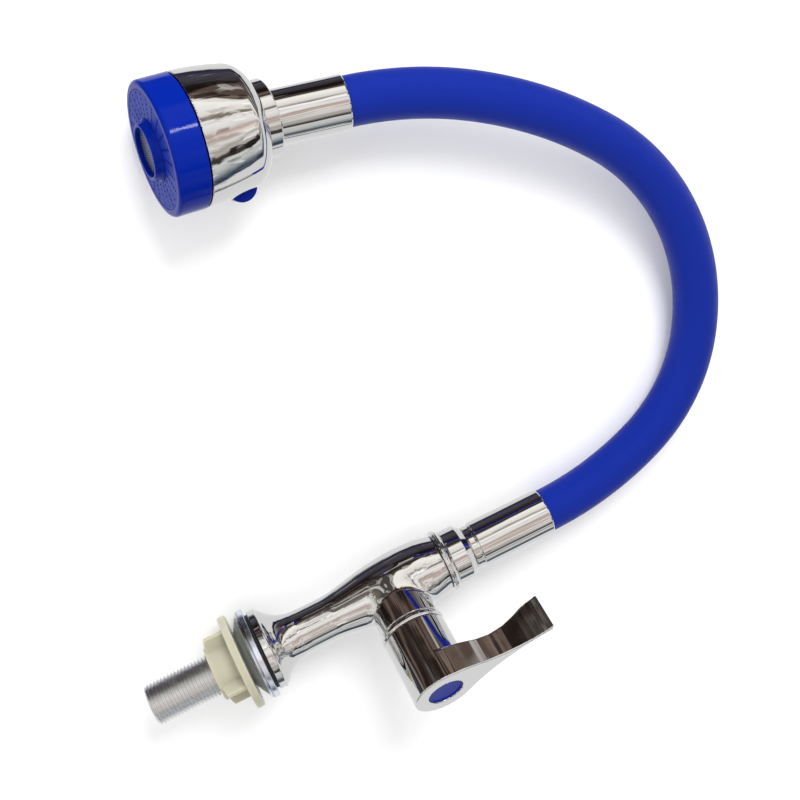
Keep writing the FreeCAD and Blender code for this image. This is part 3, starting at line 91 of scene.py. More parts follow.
def outline(corners, closed=True):
    """Points and normals of a (radius, height, fillet) outline that runs anticlockwise.

    Each corner becomes an arc tangent to both its sides. Corners on the axis stay points."""
    pts, nrm = [], []
    count = len(corners)
    for k, (x, z, fillet) in enumerate(corners):
        here = np.array([x, z], float)
        if not closed and k in (0, count - 1):
            other = corners[1 if k == 0 else k - 1]
            way = np.array([other[0] - x, other[1] - z]) * (1 if k == 0 else -1)
            way /= np.linalg.norm(way)
            pts.append(here)
            nrm.append([way[1], -way[0]])
            continue
        a = np.array(corners[k - 1][:2], float) - here
        b = np.array(corners[(k + 1) % count][:2], float) - here
        la, lb = np.linalg.norm(a), np.linalg.norm(b)
        a, b = a / la, b / lb
        half = math.acos(max(-1.0, min(1.0, float(a @ b)))) / 2
        reach = min(fillet / math.tan(half), 0.499 * la, 0.499 * lb)
        radius = reach * math.tan(half)
        bend = -a[0] * b[1] + a[1] * b[0]
        side = 1.0 if bend > 0 else -1.0
        n0, n1 = np.array([-a[1], a[0]]), np.array([b[1], -b[0]])
        centre = here + a * reach - n0 * radius * side
        steps = max(2, int(math.ceil((math.pi - 2 * half) / 0.35)) + 1)
        for t in np.linspace(0, 1, steps):
            n = n0 * (1 - t) + n1 * t
            n /= np.linalg.norm(n)
            pts.append(centre + n * radius * side)
            nrm.append(n)
    return np.array(pts), np.array(nrm)


def turned(name, corners, material, place=None, closed=True, steps=144):
    """A turned piece: its outline swept about Z. Ends on the axis close to a single point."""
    pts, nrm = outline(corners, closed)
    angle = np.arange(steps) / steps * TAU
    ring = np.stack([np.cos(angle), np.sin(angle), np.zeros(steps)], -1)
    up = np.array([0.0, 0.0, 1.0])
    xyz = pts[:, 0, None, None] * ring + pts[:, 1, None, None] * up
    nor = nrm[:, 0, None, None] * ring + nrm[:, 1, None, None] * up
    xyz, nor = xyz.reshape(-1, 3), nor.reshape(-1, 3)
    keep = np.arange(len(xyz))
    for row in np.flatnonzero(pts[:, 0] < 1e-6):
        keep[row * steps : (row + 1) * steps] = row * steps
        nor[row * steps] = up * np.sign(nrm[row, 1])
    used, back = np.unique(keep, return_inverse=True)
    quads = back[grid_faces(len(pts), steps, wrap_rows=closed)]
    same = quads == np.roll(quads, 1, axis=1)
    at_pole = same.any(axis=1)
    triangles = quads[at_pole][~same[at_pole]].reshape(-1, 3)
    faces = quads[~at_pole].tolist() + triangles.tolist()
    return put(name, xyz[used], faces, material, nor[used], place)


def material(name, color, **sockets):
    """A material and its Principled shader, with some of the shader's sockets set."""
    mat = bpy.data.materials.new(name)
    mat.use_nodes = True
    shader = mat.node_tree.nodes["Principled BSDF"]
    shader.inputs["Base Color"].default_value = (*color, 1)
    for key, value in sockets.items():
        shader.inputs[key.replace("_", " ")].default_value = value
    return mat, shader


def node(tree, kind, inputs=None, **settings):
    """A shader node; inputs are values, or sockets to link from."""
    made = tree.nodes.new(kind)
    for key, value in settings.items():
        setattr(made, key, value)
    for key, value in (inputs or {}).items():
        if isinstance(value, bpy.types.NodeSocket):
            tree.links.new(value, made.inputs[key])
        else:
            made.inputs[key].default_value = value
    return made


def math_node(tree, operation, *values):
    """The result of a maths node over numbers or sockets."""
    return node(tree, "ShaderNodeMath", dict(enumerate(values)), operation=operation).outputs[0]


def faded(tree, value, low, high):
    """A socket's value brought from low..high to 0..1 and held there; low may be the larger."""
    limits = {"Value": value, "From Min": low, "From Max": high}
    return node(tree, "ShaderNodeMapRange", limits).outputs[0]


def handling_group():
    """Wear shared by every surface: Waves (slow unevenness), Smudge and Specks (fine dust)."""
    tree = bpy.data.node_groups.new("handling", "ShaderNodeTree")
    tree.interface.new_socket("Size", in_out="INPUT", socket_type="NodeSocketFloat").default_value = 1.0
    for key in ("Waves", "Smudge", "Specks"):
        tree.interface.new_socket(key, in_out="OUTPUT", socket_type="NodeSocketFloat")
    given, out = tree.nodes.new("NodeGroupInput"), tree.nodes.new("NodeGroupOutput")
    where = node(tree, "ShaderNodeTexCoord").outputs["Object"]
    size = given.outputs["Size"]
    near = node(tree, "ShaderNodeVectorMath", {0: where, "Scale": size}, operation="SCALE")
    near = near.outputs[0]
    waves = node(tree, "ShaderNodeTexNoise", {"Vector": near, "Scale": 42.0, "Detail": 1.5})
    blur = node(
        tree, "ShaderNodeTexNoise", {"Vector": near, "Scale": 150.0, "Detail": 5.0, "Distortion": 0.6}
    )
    cells = node(tree, "ShaderNodeTexVoronoi", {"Vector": near, "Scale": 900.0})
    speck = faded(tree, cells.outputs["Distance"], 0.16, 0.08)
    rare = faded(tree, cells.outputs["Color"], 0.86, 0.9)
    tree.links.new(waves.outputs["Fac"], out.inputs["Waves"])
    tree.links.new(faded(tree, blur.outputs["Fac"], 0.48, 0.75), out.inputs["Smudge"])
    tree.links.new(math_node(tree, "MULTIPLY", speck, rare), out.inputs["Specks"])
    return tree


HANDLING = handling_group()


def handled(mat, shader, rough, smeared, wave=0.0, grain=0.0, grain_size=3000.0, speck=0.5):
    """Adds wear: roughness between two values, slow waves and fine grain in the surface."""
    tree = mat.node_tree
    wear = node(tree, "ShaderNodeGroup", node_tree=HANDLING).outputs
    smear = math_node(tree, "MULTIPLY_ADD", wear["Smudge"], smeared - rough, rough)
    dusty = math_node(tree, "MULTIPLY_ADD", wear["Specks"], speck, smear)
    tree.links.new(dusty, shader.inputs["Roughness"])
    where = node(tree, "ShaderNodeTexCoord").outputs["Object"]
    fine = node(tree, "ShaderNodeTexNoise", {"Vector": where, "Scale": grain_size, "Detail": 2.0})
    height = math_node(tree, "MULTIPLY", fine.outputs["Fac"], grain)
    height = math_node(tree, "MULTIPLY_ADD", wear["Waves"], wave, height)
    bump = node(tree, "ShaderNodeBump", {"Height": height, "Distance": MM})
    tree.links.new(bump.outputs[0], shader.inputs["Normal"])
    return bump


shank_metal, shank_shader = material("shank_metal", (0.82, 0.83, 0.85), Metallic=1.0)
handled(shank_metal, shank_shader, 0.3, 0.42, wave=0.05, grain=0.02)

PITCH, CREST, DEPTH, TIP, SHANK_TOP = 1.814, 10.46, 1.05, -58.5, 11.5
rows, cols = 760, 120
height = np.linspace(TIP + 0.35, SHANK_TOP - 0.2, rows)[:, None]
around = (np.arange(cols) / cols * TAU)[None, :]
phase = (height / PITCH - around / TAU) % 1.0
form = np.clip(0.5 - 0.62 * np.cos(TAU * phase), 0.0, 1.0)
radius = CREST - DEPTH * (1 - form)
chamfer = CREST - 1.5 + (height - TIP) * 1.05
radius = np.minimum(radius, chamfer)


def ring_rows(radius, height):
    """Rows of points round Z: (radius cos a, radius sin a, height) for each angle a."""
    return np.stack([radius * np.cos(around), radius * np.sin(around), height + 0 * around], -1)


lip = [
    ring_rows(r, z)
    for r, z in (
        (6.75, SHANK_TOP - 0.1),
        (6.5, SHANK_TOP - 1.0),
        (6.5, TIP + 0.8),
        (6.6, TIP + 0.35),
        (6.9, TIP + 0.08),
        (7.3, TIP + 0.02),
        (8.6, TIP + 0.02),
        (8.95, TIP + 0.1),
    )
]
shank_rows = np.concatenate([*lip, ring_rows(radius, height)], 0)
shank = put(
    "threaded_shank",
    shank_rows,
    grid_faces(len(shank_rows), cols, wrap_rows=True).tolist(),
    shank_metal,
)
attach(shank, "tap")
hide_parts("inlet_shank")

# Mounting nut: one moulding of cream plastic, flange, hub and four wings, screwed up the shank.
# The plastic is a little see-through and has soft edges where the mould closed.


def both(a, b, radius):
    """Where two fields overlap, with the edge between them rounded to the radius."""
    a, b = a + radius, b + radius
    return np.minimum(np.maximum(a, b), 0) + np.hypot(np.maximum(a, 0), np.maximum(b, 0)) - radius


def from_cylinder(p, radius, low, high, fillet):
    """Signed distance to an upright cylinder with rounded edges, negative inside."""
    out = np.hypot(p[..., 0], p[..., 1]) - radius
    return both(out, np.maximum(p[..., 2] - high, low - p[..., 2]), fillet)


def from_box(p, centre, half, fillet):
    """Signed distance to a box with rounded edges."""
    q = np.abs(p - np.array(centre)) - np.array(half) + fillet
    return np.linalg.norm(np.maximum(q, 0), axis=-1) + np.minimum(q.max(-1), 0) - fillet


def merge(a, b, blend):
    """Union of two fields with a fillet of about blend where they meet."""
    h = np.clip(0.5 + 0.5 * (b - a) / blend, 0, 1)
    return b + (a - b) * h - blend * h * (1 - h)


def carve(a, b, blend):
    """Field a less field b, with the edge softened by blend."""
    return -merge(-a, b, blend)


def slopes(field, p, reach=0.02):
    """Gradient of a field at the points p by central differences."""
    out = np.empty_like(p)
    for axis in range(3):
        step = np.zeros(3)
        step[axis] = reach
        out[..., axis] = (field(p + step) - field(p - step)) / (2 * reach)
    return out


def cast(name, field, low, high, step, material, place=None):
    """Mesh of a field's zero surface in a box: one point per crossed cell, one face per crossed
    grid edge, the points then moved onto the surface, with normals from the field's gradient."""
    axes = [np.arange(a, b + step, step) for a, b in zip(low, high)]
    nodes = np.stack(np.meshgrid(*axes, indexing="ij"), -1)
    inside = np.concatenate([field(slab) < 0 for slab in np.array_split(nodes, 8)], 0)
    cells = np.zeros([n - 1 for n in inside.shape], int)
    for dx in (0, 1):
        for dy in (0, 1):
            for dz in (0, 1):
                cells += inside[
                    dx : dx + cells.shape[0], dy : dy + cells.shape[1], dz : dz + cells.shape[2]
                ]
    crossed = (cells > 0) & (cells < 8)
    index = np.full(cells.shape, -1)
    index[crossed] = np.arange(crossed.sum())
    points = (np.argwhere(crossed) + 0.5) * step + np.array([a[0] for a in axes])
    for _ in range(7):
        slope = slopes(field, points)
        size = (slope**2).sum(-1, keepdims=True)
        move = field(points)[:, None] * slope / np.maximum(size, 0.05)
        points = points - np.clip(move, -step, step)
    faces = []
    for axis in range(3):
        near, far = [slice(None)] * 3, [slice(None)] * 3
        near[axis], far[axis] = slice(0, -1), slice(1, None)
        change = inside[tuple(near)].astype(int) - inside[tuple(far)].astype(int)
        u, v = [(1, 2), (2, 0), (0, 1)][axis]
        spots = np.argwhere(change != 0)
        ok = (spots[:, u] > 0) & (spots[:, v] > 0)
        ok &= (spots[:, u] < cells.shape[u]) & (spots[:, v] < cells.shape[v])
        spots = spots[ok]
        corners = []
        for du, dv in ((-1, -1), (0, -1), (0, 0), (-1, 0)):
            cell = spots.copy()
            cell[:, u] += du
            cell[:, v] += dv
            corners.append(index[tuple(cell.T)])
        quad = np.stack(corners, -1)
        flip = change[tuple(spots.T)] < 0
        quad[flip] = quad[flip][:, ::-1]
        faces.append(quad)
    normals = slopes(field, points)
    return put(name, points, np.concatenate(faces).tolist(), material, normals, place)


nut_plastic, nut_shader = material(
    "nut_plastic",
    (0.45, 0.432, 0.333),
    Subsurface_Weight=0.65,
    Subsurface_Scale=0.004,
    IOR=1.46,
)
nut_shader.inputs["Subsurface Radius"].default_value = (1.0, 0.9, 0.55)
handled(nut_plastic, nut_shader, 0.32, 0.5, wave=0.25, grain=0.015, grain_size=1500.0)
NUT_TOP = -8.7


def nut_field(p):
    """Flange, hub and four wings less the threaded bore."""
    flange = from_cylinder(p, 24.2, NUT_TOP - 3.9, NUT_TOP, 0.7)
    hub = from_cylinder(p, 13.75, NUT_TOP - 16.1, NUT_TOP - 1, 0.7)
    wing = np.minimum(
        from_box(p, (0, 0, NUT_TOP - 8.4), (21.3, 1.15, 6.4), 0.6),
        from_box(p, (0, 0, NUT_TOP - 8.4), (1.15, 21.3, 6.4), 0.6),
    )
    past_hub = np.maximum(np.hypot(p[..., 0], p[..., 1]) - 15.3, 0)
    wing = np.maximum(wing, np.hypot(past_hub, p[..., 2] - NUT_TOP) - 14.7)
    whole = merge(merge(flange, hub, 1.2), wing, 0.8)
    bore = np.hypot(p[..., 0], p[..., 1]) - 10.62
    bore = merge(bore, bore - 0.9 + np.abs(p[..., 2] - NUT_TOP + 16.1), 0.2)
    return carve(whole, bore, 0.3)


nut = cast(
    "moulded_nut", nut_field, (-25, -25, NUT_TOP - 17), (25, 25, NUT_TOP + 1), 0.5, nut_plastic
)
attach(nut, "nut")
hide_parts("mounting_nut")

# Cup washer: pressed steel, zinc plated blue-grey, with fine turning rings. It sits on the nut
# and its rim grips the deck from below.


def distance_node(tree, x, y):
    """The length of the vector (x, y, 0)."""
    flat = node(tree, "ShaderNodeCombineXYZ", {"X": x, "Y": y}).outputs[0]
    return node(tree, "ShaderNodeVectorMath", {0: flat}, operation="LENGTH").outputs["Value"]


def mix_colors(tree, factor, *colors):
    """The first colour where factor is 0 and the second where it is 1; colours or sockets."""
    ends = [c if isinstance(c, bpy.types.NodeSocket) else (*c, 1) for c in colors]
    made = node(tree, "ShaderNodeMix", {"Factor": factor, 6: ends[0], 7: ends[1]}, data_type="RGBA")
    return made.outputs[2]


def bumped(tree, shader, height, millimetres, under):
    """Lifts a shader's surface by height times millimetres, over the bump already under it."""
    settings = {"Height": height, "Distance": millimetres * MM, "Normal": under.outputs[0]}
    lifted = node(tree, "ShaderNodeBump", settings)
    tree.links.new(lifted.outputs[0], shader.inputs["Normal"])


ZINC = (0.8, 0.86, 1.0)
zinc, zinc_shader = material("zinc_steel", ZINC, Metallic=1.0)
zinc_bump = handled(zinc, zinc_shader, 0.2, 0.34, wave=0.1)
tree = zinc.node_tree
where = node(tree, "ShaderNodeTexCoord").outputs["Object"]
parts = node(tree, "ShaderNodeSeparateXYZ", {0: where}).outputs
rings = node(
    tree,
    "ShaderNodeTexNoise",
    {"W": distance_node(tree, parts[0], parts[1]), "Scale": 1.1 / MM, "Detail": 2.0},
    noise_dimensions="1D",
).outputs["Fac"]
bumped(tree, zinc_shader, rings, 0.3, zinc_bump)
# The grooves of the turning rings are painted darker than the plating: painted shade in the grooves.
groove_shade = [0.45 * value for value in ZINC]
shade = mix_colors(tree, faded(tree, rings, 0.4, 0.52), groove_shade, ZINC)
tree.links.new(shade, zinc_shader.inputs["Base Color"])
washer = turned(
    "pressed_washer",
    [
        (11.2, -8.6, 0.2),
        (13.6, -8.6, 0.8),
        (22.4, -4.1, 1.6),
        (23.25, -2.4, 0.8),
        (23.25, -0.02, 0.4),
        (22.05, -0.02, 0.4),
        (22.0, -2.5, 1.0),
        (13.2, -7.25, 0.6),
        (11.2, -7.25, 0.2),
    ],
    zinc,
)
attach(washer, "washer")
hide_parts("cup_washer")

# Base gasket: a flat ring of black rubber, cut from sheet. It is laid in the foot of the body
# before the tap is set down.

rubber, rubber_shader = material("black_rubber", (0.02, 0.02, 0.022))
handled(rubber, rubber_shader, 0.55, 0.75, grain=0.03, grain_size=2200.0)
gasket = turned(
    "rubber_gasket",
    [(10.7, 0.02, 0.2), (19.45, 0.02, 0.5), (19.45, 1.48, 0.3), (10.7, 1.48, 0.2)],
    rubber,
)
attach(gasket, "tap")
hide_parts("base_gasket")

# Body: one brass casting, polished and chromed. A flat foot flares into a narrow waist, swells
# to a belly and carries the valve boss, whose foot runs into the belly in a small fillet.

chrome, chrome_shader = material("chromed_brass", (0.7, 0.705, 0.71), Metallic=1.0)
handled(chrome, chrome_shader, 0.025, 0.075, wave=0.22, grain=0.0, speck=0.25)

# The lever's axis: its direction and its height above the deck.
AZIMUTH = math.radians(-62.5)
LEVER_Z = 71.4
outward = Vector((math.cos(AZIMUTH), math.sin(AZIMUTH), 0))
# Outline of the turned part, as heights above the deck and radii.
BODY = np.array(
    [
        (5.0, 20.6), (5.9, 19.9), (7.0, 19.0), (8.4, 17.6), (10.5, 15.5), (13.0, 13.7),
        (16.0, 12.3), (19.5, 11.4), (24.0, 11.05), (29.0, 11.0), (34.0, 11.0), (39.0, 11.1),
        (44.0, 11.75), (49.0, 12.65), (59.2, 14.7), (69.3, 16.1), (79.4, 16.75), (86.0, 16.7),
        (91.0, 16.3), (96.0, 15.5), (100.3, 14.5),
    ]
)


def smooth_through(table, count=600):
    """A curve through (height, radius) rows: cubic pieces whose slopes come from neighbours."""
    h, r = table[:, 0], table[:, 1]
    slope = np.gradient(r, h)
    at = np.linspace(h[0], h[-1], count)
    k = np.clip(np.searchsorted(h, at) - 1, 0, len(h) - 2)
    w = h[k + 1] - h[k]
    t = (at - h[k]) / w
    a = (2 * t**3 - 3 * t**2 + 1) * r[k] + (t**3 - 2 * t**2 + t) * w * slope[k]
    b = (-2 * t**3 + 3 * t**2) * r[k + 1] + (t**3 - t**2) * w * slope[k + 1]
    return at, a + b


body_h, body_r = smooth_through(BODY)
body_slope = np.gradient(body_r, body_h)


def body_field(p):
    """The turned casting, its foot and its boss, less the mouth of the boss."""
    out = np.hypot(p[..., 0], p[..., 1])
    z = p[..., 2]
    lean = np.interp(z, body_h, body_slope)
    turned_part = (out - np.interp(z, body_h, body_r)) / np.sqrt(1 + lean**2)
    turned_part = np.maximum(turned_part, z - 100.2)
    turned_part = np.maximum(turned_part, 5.2 - z)
    foot = from_cylinder(p, 20.75, 1.55, 5.45, 0.45)
    along = p[..., 0] * outward.x + p[..., 1] * outward.y
    across = p[..., 0] * outward.y - p[..., 1] * outward.x
    local = np.stack([z - LEVER_Z, across, along], -1)
    boss = from_cylinder(local, 15.75, 0.0, 24.95, 0.3)
    whole = merge(merge(turned_part, foot, 0.7), boss, 3.2)
    mouth = from_cylinder(local, 12.6, 12.0, 40.0, 0.2)
    return carve(whole, mouth, 0.3)


body = cast("cast_body", body_field, (-23, -30, 0.5), (23, 23, 101.5), 0.62, chrome)
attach(body, "tap")
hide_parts("tap_body")

# Swivel ring and collar nut: turned brass, chromed. The ring lies on the body's shoulder and the
# collar nut above it screws onto the neck and holds the spout in.

swivel = turned(
    "turned_swivel_ring",
    [
        (12.6, 100.35, 0.1),
        (15.9, 100.35, 0.3),
        (16.65, 101.2, 0.35),
        (16.65, 101.75, 0.25),
        (16.1, 102.2, 0.15),
        (16.3, 102.7, 0.25),
        (15.7, 103.5, 0.4),
        (15.1, 104.05, 0.3),
        (12.6, 104.05, 0.1),
    ],
    chrome,
)
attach(swivel, "tap")
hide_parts("swivel_ring")
collar = turned(
    "turned_collar",
    [
        (8.65, 104.2, 0.1),
        (13.9, 104.2, 0.3),
        (14.35, 104.7, 0.4),
        (14.35, 112.4, 1.0),
        (11.75, 115.6, 0.5),
        (8.65, 115.6, 0.1),
    ],
    chrome,
)
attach(collar, "tap")
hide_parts("collar_nut")

# Trim ring: a bulged band of turned brass, chromed. It closes the gap between the boss and the
# turning lever, and stays with the body.

lever_place = Matrix(
    (
        (0, outward.y, outward.x, 0),
        (0, -outward.x, outward.y, 0),
        (1, 0, 0, LEVER_Z),
        (0, 0, 0, 1),
    )
)
ring = turned(
    "turned_trim_ring",
    [
        (12.3, 25.05, 0.1),
        (15.9, 25.05, 0.3),
        (16.1, 25.55, 0.15),
        (16.45, 26.0, 0.9),
        (16.45, 27.4, 0.9),
        (16.1, 27.85, 0.15),
        (15.8, 28.35, 0.3),
        (12.3, 28.35, 0.1),
    ],
    chrome,
    lever_place,
)
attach(ring, "tap")
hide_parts("trim_ring")

# Lever: a brass casting, chromed. A round hub pushed on the spindle, and a thin comma-shaped
# blade that leaves the hub's rim flush with its face and widens towards the tip.

# The hub's radius, and how far its face and its rim lie from the tap's axis.
HUB, FACE, HUB_LOW = 16.1, 63.0, 28.75


def arc_between(a, b, radius, left, count=24):
    """Points from a to b along an arc whose centre lies left or right of the way."""
    a, b = np.array(a, float), np.array(b, float)
    way = b - a
    length = np.linalg.norm(way)
    normal = np.array([-way[1], way[0]]) / length * (1 if left else -1)
    centre = (a + b) / 2 + normal * math.sqrt(radius**2 - length**2 / 4)
    start = math.atan2(*(a - centre)[::-1])
    sweep = 2 * math.asin(length / 2 / radius) * (1 if left else -1)
    angle = start + np.linspace(0, 1, count) * sweep
    return centre + radius * np.stack([np.cos(angle), np.sin(angle)], -1)


comma = np.concatenate(
    [
        [(3.2, 15.7), (12.0, 14.5)],
        arc_between((20.0, 12.15), (59.2, 11.65), 60.0, True),
        [(58.55, 8.35)],
        arc_between((58.4, 8.3), (12.6, -10.1), 74.0, True)[1:],
        [(0.0, -12.0), (-6.0, 0.0)],
    ]
)


def from_polygon(x, y, corners):
    """Signed distance to a closed polygon, negative inside."""
    nearest = np.full(x.shape, 1e9)
    inside = np.zeros(x.shape, bool)
    for a, b in zip(corners, np.roll(corners, -1, 0)):
        e, w0, w1 = b - a, x - a[0], y - a[1]
        t = np.clip((w0 * e[0] + w1 * e[1]) / (e @ e), 0, 1)
        nearest = np.minimum(nearest, (w0 - e[0] * t) ** 2 + (w1 - e[1] * t) ** 2)
        crosses = (a[1] > y) != (b[1] > y)
        with np.errstate(divide="ignore", invalid="ignore"):
            inside ^= crosses & (x < a[0] + (y - a[1]) * e[0] / e[1])
    return np.where(inside, -1, 1) * np.sqrt(nearest)


# The blade's back: how far out along the blade, and how high the back lies there.
rear_u = np.array([0.0, 12.0, 16.2, 23.0, 30.0, 38.0, 45.0, 50.0, 53.0, 59.3, 70.0])
rear_d = np.array([48.6, 48.8, 49.1, 50.1, 50.3, 49.2, 47.1, 45.3, 44.8, 44.35, 44.3])


def lever_field(p):
    """Hub and blade in the lever's own axes: X along the blade, Z out of the face."""
    hub = from_cylinder(p, HUB, HUB_LOW, FACE + 9.0, 0.35)
    flat = from_polygon(p[..., 0], p[..., 1], comma)
    rear = np.interp(p[..., 0], rear_u, rear_d) - p[..., 2]
    blade = both(flat, rear, 0.4)
    whole = both(merge(hub, blade, 0.9), p[..., 2] - FACE + 0.02, 0.4)
    recess = from_cylinder(p, 9.1, FACE - 2.6, FACE + 5, 0.2)
    hollow = from_cylinder(p, 14.2, HUB_LOW - 5, HUB_LOW + 6, 0.3)
    return carve(carve(whole, recess, 0.25), hollow, 0.3)


lever = cast("cast_lever", lever_field, (-17, -17, 28.0), (61, 17, 64), 0.5, chrome, lever_place)
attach(lever, "lever")
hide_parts("lever_handle")

# Index button: a blue plastic cap with a slightly dished top, pressed into the lever's face over
# the screw.

blue_gloss, gloss_shader = material(
    "blue_gloss", (0.001, 0.012, 0.215), IOR=1.48, Specular_IOR_Level=0.08
)
handled(blue_gloss, gloss_shader, 0.07, 0.16, wave=0.25, grain=0.003)
button = turned(
    "pressed_button",
    [
        (0, 60.5, 0),
        (8.95, 60.5, 0.2),
        (8.95, 62.45, 0.25),
        (8.3, 62.45, 0.2),
        (7.9, 62.05, 0.5),
        (4.0, 61.95, 6.0),
        (0, 61.9, 0),
    ],
    blue_gloss,
    lever_place,
    closed=False,
)
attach(button, "lever")
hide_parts("index_button")

# Lower ferrule: drawn brass tube, chromed. Its necked foot sits on the spout's stem, and its open
# end is pressed round the hose.

HOSE_START = 159.9
FERRULE = 12.08
low_ferrule = turned(
    "drawn_lower_ferrule",
    [
        (8.6, 116.05, 0.1),
        (11.0, 116.05, 0.3),
        (11.35, 116.6, 0.3),
        (11.3, 119.3, 0.6),
        (11.55, 120.2, 0.3),
        (FERRULE, 120.7, 0.5),
        (FERRULE, 159.3, 0.5),
        (11.75, HOSE_START - 0.02, 0.15),
        (11.35, HOSE_START - 0.02, 0.15),
        (11.3, 158.8, 0.2),
        (11.3, 126.2, 0.1),
        (8.6, 126.2, 0.1),
    ],
    chrome,
)
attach(low_ferrule, "spout_root")
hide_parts("lower_ferrule")

# Hose: a smooth blue silicone sleeve over a bendable metal tube and the water hose. It is one
# piece on the tap; here its skin is cut at the middle of each stretch of the jointed arm.

# The hose turns by BENDS degrees in its six equal stretches, each first twisted by TWISTS.
STRETCH = 374.9 / 6
BENDS = (24.4, 43.4, 32.8, 31.4, 19.5, 20.4)
TWISTS = (0.0, 0.0, 0.0, 0.0, -21.5, 28.4)
HOSE_R, HOSE_SIDES = 11.18, 64

starts = []
here = Matrix.Translation((0, 0, HOSE_START))
for bend, twist in zip(BENDS, TWISTS):
    here = here @ Matrix.Rotation(math.radians(twist), 4, "Z")
    starts.append(here)
    swing = math.radians(bend)
    big = STRETCH / swing
    here = (
        here
        @ Matrix.Translation((-big * (1 - math.cos(swing)), 0, big * math.sin(swing)))
        @ Matrix.Rotation(-swing, 4, "Y")
    )
hose_end = here


def along_hose(s):
    """Place (4 by 4) on the hose's centre line s millimetres from its start."""
    inside = min(max(s, 0), 6 * STRETCH)
    k = int(min(inside // STRETCH, 5))
    big = STRETCH / math.radians(BENDS[k])
    turn = (inside - k * STRETCH) / big
    return np.array(
        starts[k]
        @ Matrix.Translation((-big * (1 - math.cos(turn)), 0, big * math.sin(turn)))
        @ Matrix.Rotation(-turn, 4, "Y")
        @ Matrix.Translation((0, 0, s - inside))
    )


silicone, silicone_shader = material(
    "blue_silicone",
    (0.001, 0.0155, 0.245),
    IOR=1.4,
    Specular_IOR_Level=0.25,
    Sheen_Weight=0.04,
    Sheen_Roughness=0.35,
)
silicone_shader.inputs["Sheen Tint"].default_value = (0.35, 0.45, 1.0, 1)
handled(silicone, silicone_shader, 0.42, 0.55, wave=0.35, grain=0.012, grain_size=1800.0)


def hose_rings(begin, end, gap):
    """Distances, centres and outward directions of rings along the hose, untwisted."""
    at = np.linspace(begin, end, max(8, int((end - begin) / gap)))
    spots = np.stack([along_hose(s) for s in at])
    twist = np.radians([sum(TWISTS[: int(min(max(s // STRETCH, 0), 5)) + 1]) for s in at])
    angle = (np.arange(HOSE_SIDES) / HOSE_SIDES * TAU)[None, :] - twist[:, None]
    out = (
        np.cos(angle)[..., None] * spots[:, None, :3, 0]
        + np.sin(angle)[..., None] * spots[:, None, :3, 1]
    )
    return at, spots[:, None, :3, 3], out


def skin_piece(name, begin, end):
    """The sleeve's skin from begin to end along the hose."""
    _, spots, out = hose_rings(begin, end, 1.3)
    faces = grid_faces(len(out), HOSE_SIDES).tolist()
    return put(name, spots + HOSE_R * out, faces, silicone, out)


def pipe_piece(name, begin, end, radius, wall, ripple, finish):
    """A pipe in the sleeve: radius + ripple (cos(2 pi s / 4 mm) - 1) outside, its bore plain."""
    at, spots, out = hose_rings(begin, end, 1.0)
    outside = (radius + ripple * (np.cos(at / 4 * TAU) - 1))[:, None, None] * out
    points = np.concatenate([spots + outside, (spots + (radius - wall) * out)[::-1]])
    faces = grid_faces(len(points), HOSE_SIDES, wrap_rows=True).tolist()
    return put(name, points, faces, finish, np.concatenate([out, -out[::-1]]))


middles = [(k + 0.5) * STRETCH for k in range(6)]
bodies = ["spout_root", "arm_2", "arm_3", "arm_4", "arm_5", "arm_tip"]


def seven_pieces(name, node_name, low, high, build):
    """One layer of the hose, cut at the middle of each stretch; the end pieces go with their bodies and
    the pieces between are baked in place.
    """
    cuts = [low, *middles, high]
    pieces = []
    for k, (begin, end) in enumerate(zip(cuts[:-1], cuts[1:])):
        piece = build(f"{name}_{k + 1}", begin, end)
        if k in (0, 6):
            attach(piece, bodies[min(k, 5)])
        else:
            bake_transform(piece)
        if k < 6:
            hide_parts(f"{node_name}_{k + 1}")
        pieces.append(piece)
    return pieces


steel, steel_shader = material("bright_steel", (0.6, 0.6, 0.62), Metallic=1.0)
handled(steel, steel_shader, 0.2, 0.35, wave=0.1)
hose_plastic, hose_shader = material("hose_plastic", (0.6, 0.6, 0.58), IOR=1.46)
handled(hose_plastic, hose_shader, 0.35, 0.5, wave=0.1)
skins = seven_pieces(
    "hose_skin", "hose_sleeve", -6.0, 6 * STRETCH - 0.001, skin_piece
)
seven_pieces(
    "bent_pipe",
    "gooseneck",
    -29.0,
    6 * STRETCH + 15.0,
    lambda name, begin, end: pipe_piece(name, begin, end, 8.88, 1.45, 0.3, steel),
)
seven_pieces(
    "water_pipe",
    "water_hose",
    -32.0,
    6 * STRETCH + 18.0,
    lambda name, begin, end: pipe_piece(name, begin, end, 7.28, 2.25, 0.0, hose_plastic),
)

# Upper ferrule: the same drawn tube as the lower one, pressed on the hose's upper end and closed
# round the ball stem.

up_ferrule = turned(
    "drawn_upper_ferrule",
    [
        (11.35, 0.02, 0.15),
        (11.75, 0.02, 0.15),
        (FERRULE, 0.6, 0.5),
        (FERRULE, 35.2, 0.6),
        (11.4, 35.75, 0.3),
        (5.15, 35.75, 0.1),
        (5.15, 32.9, 0.1),
        (11.35, 32.9, 0.1),
    ],
    chrome,
    hose_end,
)
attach(up_ferrule, "arm_tip")
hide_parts("upper_ferrule")

# Socket ring: a moulded ring nut, chromed. It holds the ball in the head and screws into the
# bell. The head's own axes start at the ball's middle.

